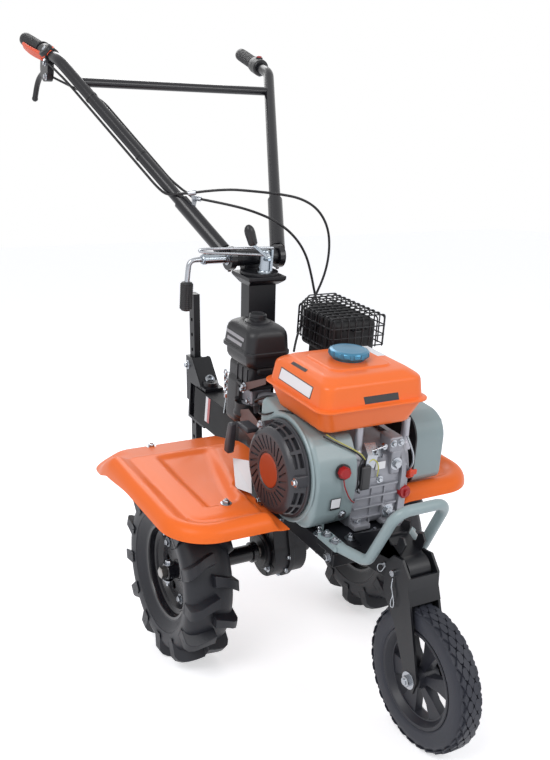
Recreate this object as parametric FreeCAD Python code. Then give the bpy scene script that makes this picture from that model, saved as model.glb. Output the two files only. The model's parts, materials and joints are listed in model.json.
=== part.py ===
import FreeCAD, Part
import math
import os

# Walk-behind rotary tiller: a single-cylinder engine on a short frame over a chain case,
# two lugged drive wheels on one shaft, a folding transport wheel in front, a swivelling
# handlebar on a rear post and a depth bar at the back.
#
# Millimetres. +X forward, +Y to the walker's left, +Z up. The machine is drawn level in its
# own frame, with the drive shaft on the line x = 0, z = DRIVE_WHEEL_RADIUS. park() then tips
# it nose-down about that line until the transport wheel touches the ground.

V = FreeCAD.Vector
UP = V(0, 0, 1)
LEFT = V(0, 1, 0)
FORWARD = V(1, 0, 0)

# --- drive wheels -------------------------------------------------------------------------
DRIVE_WHEEL_RADIUS = 200.0      # over the lugs
DRIVE_TRACK = 506.0             # between the tyres' middles
TYRE_WIDTH = 108.0
LUG_HEIGHT = 21.0
LUG_COUNT = 13                  # on each half of the tread
LUG_THICKNESS = 17.0
BEAD_RADIUS = 101.6
RIM_WALL = 3.0
RIM_WIDTH = 72.0
HUB_TUBE_RADIUS = 19.0
HUB_TUBE_END = 61.0             # its inner end, from the machine's middle
HUB_COLLAR = 14.0
SHAFT_FLATS = 23.0              # the hexagon over its flats
SHAFT_JOURNAL_RADIUS = 16.0
SHAFT_END_GAP = 12.0            # how far the shaft stands out of each hub
RUNNING_GAP = 0.05

# --- transport wheel and its fork -----------------------------------------------------------
FRONT_WHEEL_RADIUS = 140.0
FRONT_TYRE_WIDTH = 50.0
FRONT_RIM_RADIUS = 95.0
FRONT_HUB_RADIUS = 21.0
FRONT_HUB_WIDTH = 50.0
FRONT_AXLE_RADIUS = 6.0
FRONT_SPOKE_COUNT = 6
SPOKE_DEPTH = 18.0
SPOKE_START = 15.0              # degrees
SPOKE_ROOT_HALF = 8.0
SPOKE_TIP_HALF = 21.0
FRONT_RIM_WALL = 9.0
FORK_GAP = 31.0                 # from the middle to the inside of each side plate
FORK_PLATE = 5.0
FORK_PIN_X = 475.0
FORK_PIN_Z = 400.0
FORK_PIN_RADIUS = 6.0
FORK_LENGTH = 202.0             # from the hinge pin to the axle
FORK_RAKE = 21.5                # degrees that the axle lies ahead of straight down
BRACKET_HALF_WIDTH = 25.0
BRACKET_NOSE_RADIUS = 30.0
BRACKET_REAR_TOP = 455.0

# --- chain case, deck and engine ------------------------------------------------------------
CASE_HALF_WIDTH = 42.0
CASE_HUB_RADIUS = 62.0
CASE_SEAM = 6.0                  # how far the bolted seam stands out
CASE_SEAM_HALF = 6.0
CASE_COVER_RADIUS = 36.0         # the bearing covers at the drive shaft
CASE_COVER = 10.0
CASE_TOP_X = -60.0
CASE_TOP_Z = 470.0
CASE_TOP_RADIUS = 50.0
CASE_SEAT_RADIUS = 30.0
CASE_REAR = -113.0               # the face that the post and yoke bolt to
RAIL_Y = 70.0
RAIL_WIDTH = 38.0
RAIL_HEIGHT = 36.0
DECK_TOP = 390.0
DECK_PLATE = 5.0
RAIL_REAR = -60.0
RAIL_FRONT = 350.0
CRANK_X = 182.0
CRANK_Z = 501.0
CRANKCASE_RIGHT = -46.0
CRANKCASE_LEFT = 126.0
CRANKCASE_REAR = 68.0
CRANKCASE_FRONT = 298.0
CRANKCASE_TOP = 560.0
CYLINDER_TILT = 25.0            # degrees above level, towards the rear
CYLINDER_REACH = 205.0          # from the crankshaft to the head's end
CYLINDER_THICK = 96.0
CYLINDER_RIGHT = -42.0
CYLINDER_LEFT = 64.0
FIN_FIRST = 104.0               # from the crankshaft to the first cooling fin
FIN_LAST = 176.0
FIN_COUNT = 7
FIN_THICKNESS = 4.0
FIN_RISE = 5.5                  # above and below the cylinder
FIN_SIDE = 3.5                  # beyond its sides
CRANKSHAFT_RADIUS = 12.0

# --- fan shroud and recoil starter ----------------------------------------------------------
SHROUD_OUTER = -128.0           # the shroud's right face
SHROUD_REAR = 66.0
SHROUD_FRONT = 292.0
SHROUD_BOTTOM = 390.0
SHROUD_TOP = 604.0
SHROUD_ROUNDING = 14.0
RECOIL_FACE = -149.0
RECOIL_RADIUS = 80.0
RECOIL_FLANGE_RADIUS = 94.0
RECOIL_FLANGE = 6.0
RECOIL_HUB_RADIUS = 34.0        # the plain middle inside the ring of slots
RECOIL_SLOTS = 24
RECOIL_SLOT_WIDTH = 4.5
RECOIL_SLOT_DEPTH = 6.0
RECOIL_GRIP_X = 46.0
RECOIL_GRIP_Y = -154.0
RECOIL_GRIP_BOTTOM = 480.0
RECOIL_GRIP_LENGTH = 72.0
RECOIL_GRIP_WIDTH = 16.0

# --- fuel tank ------------------------------------------------------------------------------
TANK_REAR = 65.0
TANK_FRONT = 303.0
TANK_RIGHT = -113.0
TANK_LEFT = 153.0
TANK_FLANGE_Z = 656.0
TANK_FLANGE = 5.0
TANK_WALL_HEIGHT = 41.0         # from the flange up to the shoulder
TANK_CROWN = 20.0               # from the shoulder up to the top
TANK_DEPTH = 50.0               # from the flange down to the floor
TANK_CORNER = 30.0
TANK_SEAM = 10.0                # how far the flange stands out of the walls
TANK_FLOOR_INSET = 22.0
TANK_SHOULDER_INSET = 16.0
TANK_CROWN_INSET = 42.0
TANK_PAD = 4.0                  # the raised middle of the crown
TANK_PAD_INSET = 62.0
CAP_RADIUS = 42.0
CAP_HEIGHT = 22.0
CAP_SCALLOPS = 12
CAP_SCALLOP_RADIUS = 7.0
CAP_SCALLOP_DEPTH = 3.0

# --- air filter, carburettor and exhaust -----------------------------------------------------
FILTER_REAR = -130.0
FILTER_FRONT = 6.0
FILTER_RIGHT = -112.0
FILTER_LEFT = -2.0
FILTER_BOTTOM = 640.0
FILTER_TOP = 740.0
FILTER_COVER = 62.0             # the cover's height
FILTER_STEP = 7.0               # how far the body under it stands in
FILTER_ROUNDING = 14.0
FILTER_KNOB_RADIUS = 19.0
FILTER_KNOB = 18.0
CARBURETTOR_DROP = 50.0         # from the filter's floor to the carburettor's top
CARBURETTOR_HEIGHT = 60.0
MUFFLER_REAR = -128.0
MUFFLER_FRONT = 44.0
MUFFLER_RIGHT = 74.0
MUFFLER_LEFT = 190.0
MUFFLER_BOTTOM = 672.0
MUFFLER_TOP = 752.0
MUFFLER_ROUNDING = 12.0
MUFFLER_GROOVES = 9
MUFFLER_GROOVE = 5.0            # wide
MUFFLER_GROOVE_DEPTH = 4.0
EXHAUST_PIPE = 40.0             # square outside
EXHAUST_PIPE_REAR = -58.0
EXHAUST_PORT_Z = 580.0
MUFFLER_CHAMFER = 44.0          # cut off the rear right corner
GUARD_GAP = 14.0
GUARD_REAR_GAP = 22.0
GUARD_CORNER_GAP = 9.0
GUARD_WIRE = 3.6
GUARD_PITCH = 21.0
GUARD_DEPTH = 68.0

# --- belt cover -----------------------------------------------------------------------------
BELT_FRONT = 230.0
BELT_REAR = -168.0
BELT_BOTTOM = 431.0
BELT_TOP = 588.0
BELT_INSIDE = 184.0
BELT_OUTSIDE = 267.0
BELT_PLATE = 4.0
BELT_CORNER = 18.0
BELT_EDGE = 9.0                 # the outer face's rounding
BELT_PLATE_MARGIN = 4.0
BELT_CROWN_X = 60.0             # the highest point of the cover
BELT_NOSE = 36.0                # how far back the sloping nose starts
BELT_NOSE_DROP = 8.0
BELT_FRONT_DROP = 40.0
BELT_TAIL = 40.0
BELT_TAIL_DROP = 30.0
BELT_REAR_DROP = 70.0

# --- fenders --------------------------------------------------------------------------------
FENDER_FRONT = 252.0
FENDER_REAR = -262.0
FENDER_INSIDE = 46.0            # beside the chain case
FENDER_ENGINE_SIDE = 132.0      # beside the engine
FENDER_NOTCH = 62.0             # where the sheet steps out round the engine
FENDER_SHELF = 400.0            # the low part under the starter
FENDER_SHELF_EDGE = 158.0
FENDER_SHELF_LIP = 12.0         # from the notch's corner to the shelf
FENDER_OUTSIDE = 375.0
FENDER_TOP = 429.0              # the rolled rim's crest
FENDER_PAN = 413.0              # the flat over the tyre
FENDER_PAN_INSET = 92.0         # from the outline to the pan
FENDER_REAR_RIM = 42.0
FENDER_SKIRT = 43.0
FENDER_WALL = 3.0
FENDER_CORNER = 95.0
FENDER_EDGE = 30.0

# --- bumper ---------------------------------------------------------------------------------
BUMPER_RADIUS = 10.5
BUMPER_REAR_X = 300.0           # the end of the flattened leg
BUMPER_REAR_Y = 84.0
BUMPER_FLAT = 9.0               # the flattened leg's thickness
BUMPER_FLAT_WIDTH = 28.0
BUMPER_FLAT_FRONT = 366.0       # where the round tube starts
BUMPER_SEAT = 8.0               # the block under it on the deck
BUMPER_VERTEX_X = 425.0
BUMPER_VERTEX_Y = 64.0
BUMPER_TOP_X = 487.0
BUMPER_TOP_Y = 58.0
BUMPER_TOP_Z = 533.0

# --- post, head and handlebar ---------------------------------------------------------------
POST_X = -163.0                 # the post's middle at FILTER_TOP height
POST_LEAN = 5.0                 # degrees to the rear
POST_WIDTH = 70.0
POST_DEPTH = 40.0
POST_FOOT_Z = 430.0
POST_TOP_Z = 812.0
HEAD_PLATE = 8.0
HEAD_LOOP_REACH = 150.0         # the wire handle's, to the right
PIVOT_X = -196.0
PIVOT_Z = 852.0
PIVOT_TUBE_RADIUS = 19.0
PIVOT_BOLT_RADIUS = 8.0
CLAMP_SLEEVE = 60.0             # the height clamp's, beside the right disc
CLAMP_SLEEVE_RADIUS = 11.0
CLAMP_ROD_RADIUS = 6.0
CLAMP_GRIP = 66.0               # the hanging grip's length
CLAMP_GRIP_RADIUS = 12.5
CHEEK_INSIDE = 56.0             # the handlebar's discs, from the middle
CHEEK_PLATE = 14.0
CHEEK_RADIUS = 27.0
BAR_RADIUS = 14.0
SLEEVE_RADIUS = 18.0
SLEEVE_SHARE = 0.27
BAR_BEND = V(-508.0, 295.0, 395.0)      # from the pivot to the bend, left side
GRIP_END = V(-723.0, 318.0, 440.0)
CROSSBAR_SHARE = 0.884
CROSSBAR_RADIUS = 11.0
GRIP_RADIUS = 17.5
GRIP_LENGTH = 120.0
CONTROL_LENGTH = 34.0           # the clamps in front of the grips
THROTTLE_HUB_RADIUS = 21.0
THROTTLE_HUB = 13.0
PADDLE_LENGTH = 84.0            # the thumb lever's, from the hub's middle
PADDLE_WIDTH = 20.0
PADDLE_THICKNESS = 7.0
CLUTCH_DROP = 54.0              # from the bar down to the lever's bolt
CLUTCH_LEVER_RADIUS = 6.5
SWITCH_RADIUS = 23.0
SWITCH_LENGTH = 46.0

# --- hitch and depth bar --------------------------------------------------------------------
HITCH_PIN_X = -389.0
HITCH_PIN_RADIUS = 9.0
HITCH_CAP_RADIUS = 20.0         # the pin's broad head
HITCH_CAP = 12.0
HITCH_BOTTOM = 372.0
HITCH_TOP = 462.0
HITCH_HALF_WIDTH = 30.0
HOLDER_PLATE = 8.0
HOLDER_WIDTH = 52.0
HOLDER_GAP = 1.0                # above and below the yoke
HOLDER_RISE = 50.0              # the socket's, over the upper plate
SOCKET_WALL = 10.0
BAR_X = -478.0                  # the depth bar's middle at BAR_HOLD_Z
BAR_HOLD_Z = 470.0
DEPTH_BAR_DEPTH = 28.0
DEPTH_BAR_WIDTH = 18.0
DEPTH_BAR_TOP = 690.0
DEPTH_BAR_BOTTOM = 246.0
BAR_HOLE_RADIUS = 5.25
BAR_HOLE_PITCH = 40.0
BAR_HOLE_END = 18.0
SLIDING_GAP = 0.5
TOUCH_GAP = 0.3                 # between a fixed piece and one that only rests against it

# --- control cables -------------------------------------------------------------------------
CABLE_RADIUS = 3.0
CABLE_STOP_RADIUS = 6.0
FERRULE_LENGTH = 18.0
STOP_SHARE = 0.2
STOP_PLATE = 3.0
UPPER_THROTTLE_ROUTE = [        # along the right tube, from the stop up to the throttle
    V(-311.4, -119.6, 981.2), V(-327, -141, 978), V(-350, -156, 972), V(-387, -164, 985),
    V(-656, -287, 1195), V(-692, -305, 1221), V(-768.8, -312.4, 1246.6)]
UPPER_CLUTCH_ROUTE = [          # along the right tube, from the stop up to the clutch lever
    V(-320.4, -101.8, 969.8), V(-336, -112, 980), V(-360, -114, 984), V(-389, -130, 1002),
    V(-603, -224, 1166), V(-652, -261, 1180), V(-773.2, -303.3, 1210.7)]
THROTTLE_ROUTE = [               # from the stop on the right arm to the engine
    V(-300, -104, 985), V(-262, -52, 998), V(-222, 4, 998), V(-202, 62, 994), V(-196, 118, 984),
    V(-196, 166, 958), V(-200, 200, 914), V(-200, 210, 860), V(-202, 204, 800), V(-206, 182, 742),
    V(-200, 152, 694), V(-178, 120, 656), V(-140, 92, 632)]
CLUTCH_ROUTE = [                 # from the stop to the belt cover
    V(-307, -87, 968), V(-268, -44, 963), V(-230, 8, 952), V(-208, 62, 930), V(-200, 108, 896),
    V(-198, 142, 852), V(-196, 160, 802), V(-190, 172, 750), V(-178, 186, 702), V(-160, 200, 656),
    V(-136, 214, 618)]


# --- heights that follow from these ----------------------------------------------------------
TANK_SHOULDER = TANK_FLANGE_Z + TANK_FLANGE + TANK_WALL_HEIGHT
TANK_TOP = TANK_SHOULDER + TANK_CROWN
TANK_BOTTOM = TANK_FLANGE_Z - TANK_DEPTH
GUARD_CHAMFER = MUFFLER_CHAMFER + GUARD_REAR_GAP + GUARD_GAP - GUARD_CORNER_GAP * math.sqrt(2)


def cylinder(start, end, radius):
    axis = end.sub(start)
    return Part.makeCylinder(radius, axis.Length, start, axis)


def block(x0, x1, y0, y1, z0, z1):
    return Part.makeBox(x1 - x0, y1 - y0, z1 - z0, V(x0, y0, z0))


def rounded_block(x0, x1, y0, y1, z0, z1, radius, edges="all"):
    shape = block(x0, x1, y0, y1, z0, z1)
    if edges == "upright":
        picked = [e for e in shape.Edges if abs(e.tangentAt(e.FirstParameter).z) > 0.9]
    else:
        picked = shape.Edges
    return shape.makeFillet(radius, picked)


def side_plate(outline, y0, y1, radius=0.0):
    """A plate with an outline of (x, z) points, from y0 to y1."""
    points = [V(x, y0, z) for x, z in outline]
    solid = Part.Face(Part.makePolygon(points + points[:1])).extrude(V(0, y1 - y0, 0))
    if radius:
        across = [e for e in solid.Edges if abs(e.tangentAt(e.FirstParameter).y) > 0.9]
        solid = solid.makeFillet(radius, across)
    return solid


def rounded_rectangle(x0, x1, y0, y1, z, radius):
    """A closed wire at height z, with round corners."""
    flat = Part.makePolygon([V(x0, y0, z), V(x1, y0, z), V(x1, y1, z), V(x0, y1, z), V(x0, y0, z)])
    solid = Part.Face(flat).extrude(V(0, 0, 1))
    upright = [e for e in solid.Edges if abs(e.tangentAt(e.FirstParameter).z) > 0.9]
    solid = solid.makeFillet(radius, upright)
    bottom = [f for f in solid.Faces if abs(f.CenterOfMass.z - z) < 1e-6][0]
    return bottom.OuterWire


def bent_path(points, radii):
    """Straight runs joined by tangent arcs: a radius for each inner point."""
    edges = []
    at = points[0]
    for index in range(1, len(points) - 1):
        before = points[index].sub(points[index - 1]).normalize()
        after = points[index + 1].sub(points[index]).normalize()
        turn = before.getAngle(after)
        reach = radii[index - 1] * math.tan(turn / 2)
        first = points[index].sub(before * reach)
        last = points[index].add(after * reach)
        inward = (after - before).normalize()
        depth = radii[index - 1] * (1 / math.cos(turn / 2) - 1)
        middle = points[index].add(inward * depth)
        edges.append(Part.LineSegment(at, first).toShape())
        edges.append(Part.Arc(first, middle, last).toShape())
        at = last
    edges.append(Part.LineSegment(at, points[-1]).toShape())
    return Part.Wire(edges)


def bent_tube(points, radii, radius):
    path = bent_path(points, radii)
    start = points[0]
    circle = Part.Wire([Part.makeCircle(radius, start, points[1].sub(start))])
    pipe = path.makePipeShell([circle], True, True)
    return pipe if isinstance(pipe, Part.Solid) else Part.Solid(pipe)


def hexagon(flats, y0, y1, x=0.0, z=0.0):
    corner = flats / math.sqrt(3)
    points = []
    for index in range(6):
        angle = math.radians(60 * index)
        points.append((x + corner * math.cos(angle), z + corner * math.sin(angle)))
    return side_plate(points, y0, y1)


def mirrored(shape):
    return shape.mirror(V(0, 0, 0), LEFT)


def joined(shapes):
    first = shapes[0]
    return first.multiFuse(shapes[1:]).removeSplitter() if len(shapes) > 1 else first


# --- the drive axle line and how the machine parks -------------------------------------------
AXLE_Z = DRIVE_WHEEL_RADIUS
FORK_DROP = math.radians(FORK_RAKE)
FRONT_AXLE_X = FORK_PIN_X + FORK_LENGTH * math.sin(FORK_DROP)
FRONT_AXLE_Z = FORK_PIN_Z - FORK_LENGTH * math.cos(FORK_DROP)
WHEELBASE = math.hypot(FRONT_AXLE_X, FRONT_AXLE_Z - AXLE_Z)
PARK_PITCH = math.degrees(
    math.atan2(FRONT_AXLE_Z - AXLE_Z, FRONT_AXLE_X)
    - math.asin((FRONT_WHEEL_RADIUS - DRIVE_WHEEL_RADIUS) / WHEELBASE))


# --- drive wheels, on one shaft ---------------------------------------------------------------
def make_drive_shaft():
    reach = DRIVE_TRACK / 2 + RIM_WIDTH / 2 + SHAFT_END_GAP
    journal = CASE_HALF_WIDTH + CASE_COVER + 2.0
    middle = cylinder(V(0, -journal, AXLE_Z), V(0, journal, AXLE_Z), SHAFT_JOURNAL_RADIUS)
    return joined([middle, hexagon(SHAFT_FLATS, -reach, reach, 0, AXLE_Z)])


def make_rim(side):
    """Pressed rim with a drop centre, a disc and a hub tube over the hexagon."""
    middle = side * DRIVE_TRACK / 2
    half = RIM_WIDTH / 2
    lip = BEAD_RADIUS + 8.0
    well = BEAD_RADIUS - 14.0
    outline = [
        (lip, -half), (BEAD_RADIUS, -half + RIM_WALL), (BEAD_RADIUS, -half * 0.45),
        (well, -half * 0.3), (well, half * 0.3), (BEAD_RADIUS, half * 0.45),
        (BEAD_RADIUS, half - RIM_WALL), (lip, half),
        (lip - RIM_WALL, half), (BEAD_RADIUS - RIM_WALL, half - RIM_WALL),
        (BEAD_RADIUS - RIM_WALL, half * 0.45 + 1.5), (well - RIM_WALL, half * 0.3),
        (well - RIM_WALL, -half * 0.3), (BEAD_RADIUS - RIM_WALL, -half * 0.45 - 1.5),
        (BEAD_RADIUS - RIM_WALL, -half + RIM_WALL), (lip - RIM_WALL, -half)]
    points = [V(radius, middle + y, AXLE_Z) for radius, y in outline]
    ring = Part.Face(Part.makePolygon(points + points[:1])).revolve(V(0, 0, AXLE_Z), LEFT, 360)
    disc = cylinder(V(0, middle - 3.0, AXLE_Z), V(0, middle + 3.0, AXLE_Z), well - 1.0)
    inner = side * HUB_TUBE_END
    outer = middle + side * half
    hub = cylinder(V(0, inner, AXLE_Z), V(0, outer, AXLE_Z), HUB_TUBE_RADIUS)
    collar = cylinder(V(0, inner, AXLE_Z), V(0, inner + side * HUB_COLLAR, AXLE_Z), HUB_TUBE_RADIUS + 5.0)
    bore = hexagon(SHAFT_FLATS + 2 * RUNNING_GAP, min(inner, outer) - 1, max(inner, outer) + 1, 0, AXLE_Z)
    return joined([ring, disc, hub, collar]).cut(bore)


def make_drive_tyre(side):
    """Carcass with two rows of slanted lugs that meet in a V."""
    middle = side * DRIVE_TRACK / 2
    half = TYRE_WIDTH / 2
    tread = DRIVE_WHEEL_RADIUS - LUG_HEIGHT
    bead = RIM_WIDTH / 2 - RIM_WALL
    profile = [
        V(BEAD_RADIUS, middle - bead, AXLE_Z), V(BEAD_RADIUS + 12, middle - bead, AXLE_Z),
        V(138, middle - half, AXLE_Z), V(158, middle - half + 2, AXLE_Z),
        V(tread - 4, middle - half + 18, AXLE_Z), V(tread, middle, AXLE_Z),
        V(tread - 4, middle + half - 18, AXLE_Z), V(158, middle + half - 2, AXLE_Z),
        V(138, middle + half, AXLE_Z), V(BEAD_RADIUS + 12, middle + bead, AXLE_Z),
        V(BEAD_RADIUS, middle + bead, AXLE_Z)]
    carcass = Part.Face(Part.makePolygon(profile + profile[:1])).revolve(V(0, 0, AXLE_Z), LEFT, 360)
    lugs = []
    step = 360.0 / LUG_COUNT
    for row in (-1, 1):
        for index in range(LUG_COUNT):
            angle = index * step + (step / 2 if row > 0 else 0.0)
            lugs.append(make_lug(middle, row, angle))
    return joined([carcass] + lugs)


def make_lug(middle, row, angle):
    """One lug: a slanted block from the tread's middle out over the shoulder."""
    half = TYRE_WIDTH / 2
    root = DRIVE_WHEEL_RADIUS - LUG_HEIGHT - 22.0
    top = DRIVE_WHEEL_RADIUS
    slant = 30.0
    inner = -4.0
    crown = [V(-LUG_THICKNESS / 2, inner, root), V(LUG_THICKNESS / 2, inner, root),
             V(LUG_THICKNESS / 2 + slant, half, root), V(-LUG_THICKNESS / 2 + slant, half, root)]
    lug = Part.Face(Part.makePolygon(crown + crown[:1])).extrude(V(0, 0, top - root + 8.0))
    tip = cylinder(V(0, -2 * half, 0), V(0, 2 * half, 0), top)
    lug = lug.common(tip)
    if row < 0:
        lug = lug.mirror(V(0, 0, 0), LEFT)
    lug.rotate(V(0, 0, 0), LEFT, angle)
    lug.translate(V(0, middle, AXLE_Z))
    return lug


# --- transport wheel ----------------------------------------------------------------------------
def make_front_tyre():
    half = FRONT_TYRE_WIDTH / 2
    outer = FRONT_WHEEL_RADIUS
    profile = [(FRONT_RIM_RADIUS, -half + 6), (FRONT_RIM_RADIUS + 14, -half), (outer - 18, -half),
               (outer - 5, -half + 7), (outer, -half + 17), (outer, half - 17), (outer - 5, half - 7),
               (outer - 18, half), (FRONT_RIM_RADIUS + 14, half), (FRONT_RIM_RADIUS, half - 6)]
    points = [V(FRONT_AXLE_X + r, y, FRONT_AXLE_Z) for r, y in profile]
    return Part.Face(Part.makePolygon(points + points[:1])).revolve(
        V(FRONT_AXLE_X, 0, FRONT_AXLE_Z), LEFT, 360)


def make_front_rim():
    """Moulded wheel: a rim, broad spokes and a hub."""
    half = FRONT_TYRE_WIDTH / 2 - 6.0
    centre = V(FRONT_AXLE_X, 0, FRONT_AXLE_Z)

    def ring(outer, inner, reach):
        low = V(FRONT_AXLE_X, -reach, FRONT_AXLE_Z)
        high = V(FRONT_AXLE_X, reach, FRONT_AXLE_Z)
        return cylinder(low, high, outer).cut(cylinder(low, high, inner))

    rim = ring(FRONT_RIM_RADIUS, FRONT_RIM_RADIUS - FRONT_RIM_WALL, half)
    hub = ring(FRONT_HUB_RADIUS, FRONT_AXLE_RADIUS + RUNNING_GAP, FRONT_HUB_WIDTH / 2)
    root = FRONT_HUB_RADIUS - 4.0
    tip = FRONT_RIM_RADIUS - FRONT_RIM_WALL + 3.0
    spokes = []
    for index in range(FRONT_SPOKE_COUNT):
        wedge = [V(root, -SPOKE_DEPTH / 2, -SPOKE_ROOT_HALF), V(tip, -SPOKE_DEPTH / 2, -SPOKE_TIP_HALF),
                 V(tip, -SPOKE_DEPTH / 2, SPOKE_TIP_HALF), V(root, -SPOKE_DEPTH / 2, SPOKE_ROOT_HALF)]
        spoke = Part.Face(Part.makePolygon(wedge + wedge[:1])).extrude(V(0, SPOKE_DEPTH, 0))
        spoke.rotate(V(0, 0, 0), LEFT, index * 360.0 / FRONT_SPOKE_COUNT + SPOKE_START)
        spoke.translate(centre)
        spokes.append(spoke)
    return joined([rim, hub] + spokes)


def make_fork():
    """Two side plates joined by a front plate, hinged on the bracket's nose."""
    ahead = V(math.sin(FORK_DROP), 0, -math.cos(FORK_DROP))
    outline = [
        (FORK_PIN_X - 12, FORK_PIN_Z + 30), (FORK_PIN_X + 16, FORK_PIN_Z + 34),
        (FORK_PIN_X + 40, FORK_PIN_Z + 8), (FORK_PIN_X + 42, FORK_PIN_Z - 18),
        (FORK_PIN_X + 60, FORK_PIN_Z - 66),
        (FRONT_AXLE_X + 22, FRONT_AXLE_Z + 12), (FRONT_AXLE_X + 16, FRONT_AXLE_Z - 20),
        (FRONT_AXLE_X - 16, FRONT_AXLE_Z - 16), (FRONT_AXLE_X - 21, FRONT_AXLE_Z + 16),
        (FORK_PIN_X + 13, FORK_PIN_Z - 99), (FORK_PIN_X - 22, FORK_PIN_Z - 62),
        (FORK_PIN_X - 30, FORK_PIN_Z - 50), (FORK_PIN_X - 28, FORK_PIN_Z + 10)]
    outer = FORK_GAP + FORK_PLATE
    right = side_plate(outline, -outer, -FORK_GAP)
    left = side_plate(outline, FORK_GAP, outer)
    web = side_plate([(FORK_PIN_X + 36, FORK_PIN_Z + 6), (FORK_PIN_X + 40, FORK_PIN_Z + 6),
                      (FORK_PIN_X + 42, FORK_PIN_Z - 18), (FORK_PIN_X + 53, FORK_PIN_Z - 44),
                      (FORK_PIN_X + 48.5, FORK_PIN_Z - 46), (FORK_PIN_X + 37.5, FORK_PIN_Z - 20)],
                     -outer, outer)
    fork = joined([right, left, web])
    pin = cylinder(V(FORK_PIN_X, -outer, FORK_PIN_Z), V(FORK_PIN_X, outer, FORK_PIN_Z),
                   FORK_PIN_RADIUS + RUNNING_GAP)
    axle = cylinder(V(FRONT_AXLE_X, -outer, FRONT_AXLE_Z), V(FRONT_AXLE_X, outer, FRONT_AXLE_Z),
                    FRONT_AXLE_RADIUS)
    return fork.cut(pin).cut(axle)


def make_fork_pin():
    outer = FORK_GAP + FORK_PLATE
    shank = cylinder(V(FORK_PIN_X, -outer - 9, FORK_PIN_Z), V(FORK_PIN_X, outer + 5, FORK_PIN_Z),
                     FORK_PIN_RADIUS)
    head = cylinder(V(FORK_PIN_X, outer + 1, FORK_PIN_Z), V(FORK_PIN_X, outer + 5, FORK_PIN_Z),
                    FORK_PIN_RADIUS + 4)
    return joined([shank, head])


def make_front_axle():
    outer = FORK_GAP + FORK_PLATE
    axle = cylinder(V(FRONT_AXLE_X, -outer - 13, FRONT_AXLE_Z), V(FRONT_AXLE_X, outer + 8, FRONT_AXLE_Z),
                    FRONT_AXLE_RADIUS)
    nut = hexagon(19, -outer - 10, -outer, FRONT_AXLE_X, FRONT_AXLE_Z)
    head = hexagon(19, outer, outer + 8, FRONT_AXLE_X, FRONT_AXLE_Z)
    return joined([axle, nut, head])


# --- chassis --------------------------------------------------------------------------------------
def make_case_slab(grow, half):
    """The case's outline, grown by a margin, from -half to half across."""
    lower = cylinder(V(0, -half, AXLE_Z), V(0, half, AXLE_Z), CASE_HUB_RADIUS + grow)
    upper = cylinder(V(CASE_TOP_X, -half, CASE_TOP_Z), V(CASE_TOP_X, half, CASE_TOP_Z),
                     CASE_TOP_RADIUS + grow)
    web = side_plate([(-CASE_HUB_RADIUS - grow, AXLE_Z), (CASE_HUB_RADIUS + grow, AXLE_Z),
                      (CASE_TOP_X + CASE_TOP_RADIUS + grow, CASE_TOP_Z),
                      (CASE_TOP_X - CASE_TOP_RADIUS - grow, CASE_TOP_Z)], -half, half)
    return joined([lower, upper, web])


def make_chain_case():
    """Cast case from the drive shaft up to the belt-driven input shaft, in two bolted halves."""
    body = make_case_slab(0.0, CASE_HALF_WIDTH)
    seam = make_case_slab(CASE_SEAM, CASE_SEAM_HALF)
    cover_face = CASE_HALF_WIDTH + CASE_COVER
    covers = cylinder(V(0, -cover_face, AXLE_Z), V(0, cover_face, AXLE_Z), CASE_COVER_RADIUS)
    seat = cylinder(V(CASE_TOP_X, CASE_HALF_WIDTH, CASE_TOP_Z),
                    V(CASE_TOP_X, BELT_INSIDE - BELT_PLATE, CASE_TOP_Z), CASE_SEAT_RADIUS)
    boss = block(CASE_REAR, CASE_TOP_X, -POST_WIDTH / 2, POST_WIDTH / 2, HITCH_BOTTOM + 8, CASE_TOP_Z)
    bore = cylinder(V(0, -cover_face, AXLE_Z), V(0, cover_face, AXLE_Z), SHAFT_JOURNAL_RADIUS + RUNNING_GAP)
    return joined([body, seam, covers, seat, boss]).cut(bore)


def make_deck_frame():
    """Two rails beside the case, with the engine plate and a front cross plate."""
    low = DECK_TOP - RAIL_HEIGHT
    rails = []
    for side in (-1, 1):
        inner = side * (RAIL_Y - RAIL_WIDTH / 2)
        outer = side * (RAIL_Y + RAIL_WIDTH / 2)
        rails.append(block(RAIL_REAR, RAIL_FRONT, min(inner, outer), max(inner, outer),
                           low, DECK_TOP - DECK_PLATE))
    reach = RAIL_Y + RAIL_WIDTH / 2
    plate = block(CASE_TOP_X + CASE_TOP_RADIUS + CASE_SEAM + 24, RAIL_FRONT, -reach, reach,
                  DECK_TOP - DECK_PLATE, DECK_TOP)
    front = block(RAIL_FRONT - 30, RAIL_FRONT, -reach, reach, low, DECK_TOP - DECK_PLATE)
    ties = []
    for side in (-1, 1):
        edge = side * CASE_HALF_WIDTH
        inner = side * (RAIL_Y - RAIL_WIDTH / 2)
        ties.append(block(RAIL_REAR, RAIL_REAR + 60, min(edge, inner), max(edge, inner), low, low + 20))
    seats = []
    for side in (-1, 1):
        inner = side * (BUMPER_REAR_Y - BUMPER_FLAT_WIDTH)
        outer = side * (BUMPER_REAR_Y + BUMPER_FLAT_WIDTH / 2)
        seats.append(block(BUMPER_REAR_X, BUMPER_FLAT_FRONT - BUMPER_RADIUS, min(inner, outer),
                           max(inner, outer), DECK_TOP - DECK_PLATE, DECK_TOP + BUMPER_SEAT))
    return joined(rails + [plate, front] + ties + seats)


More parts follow.
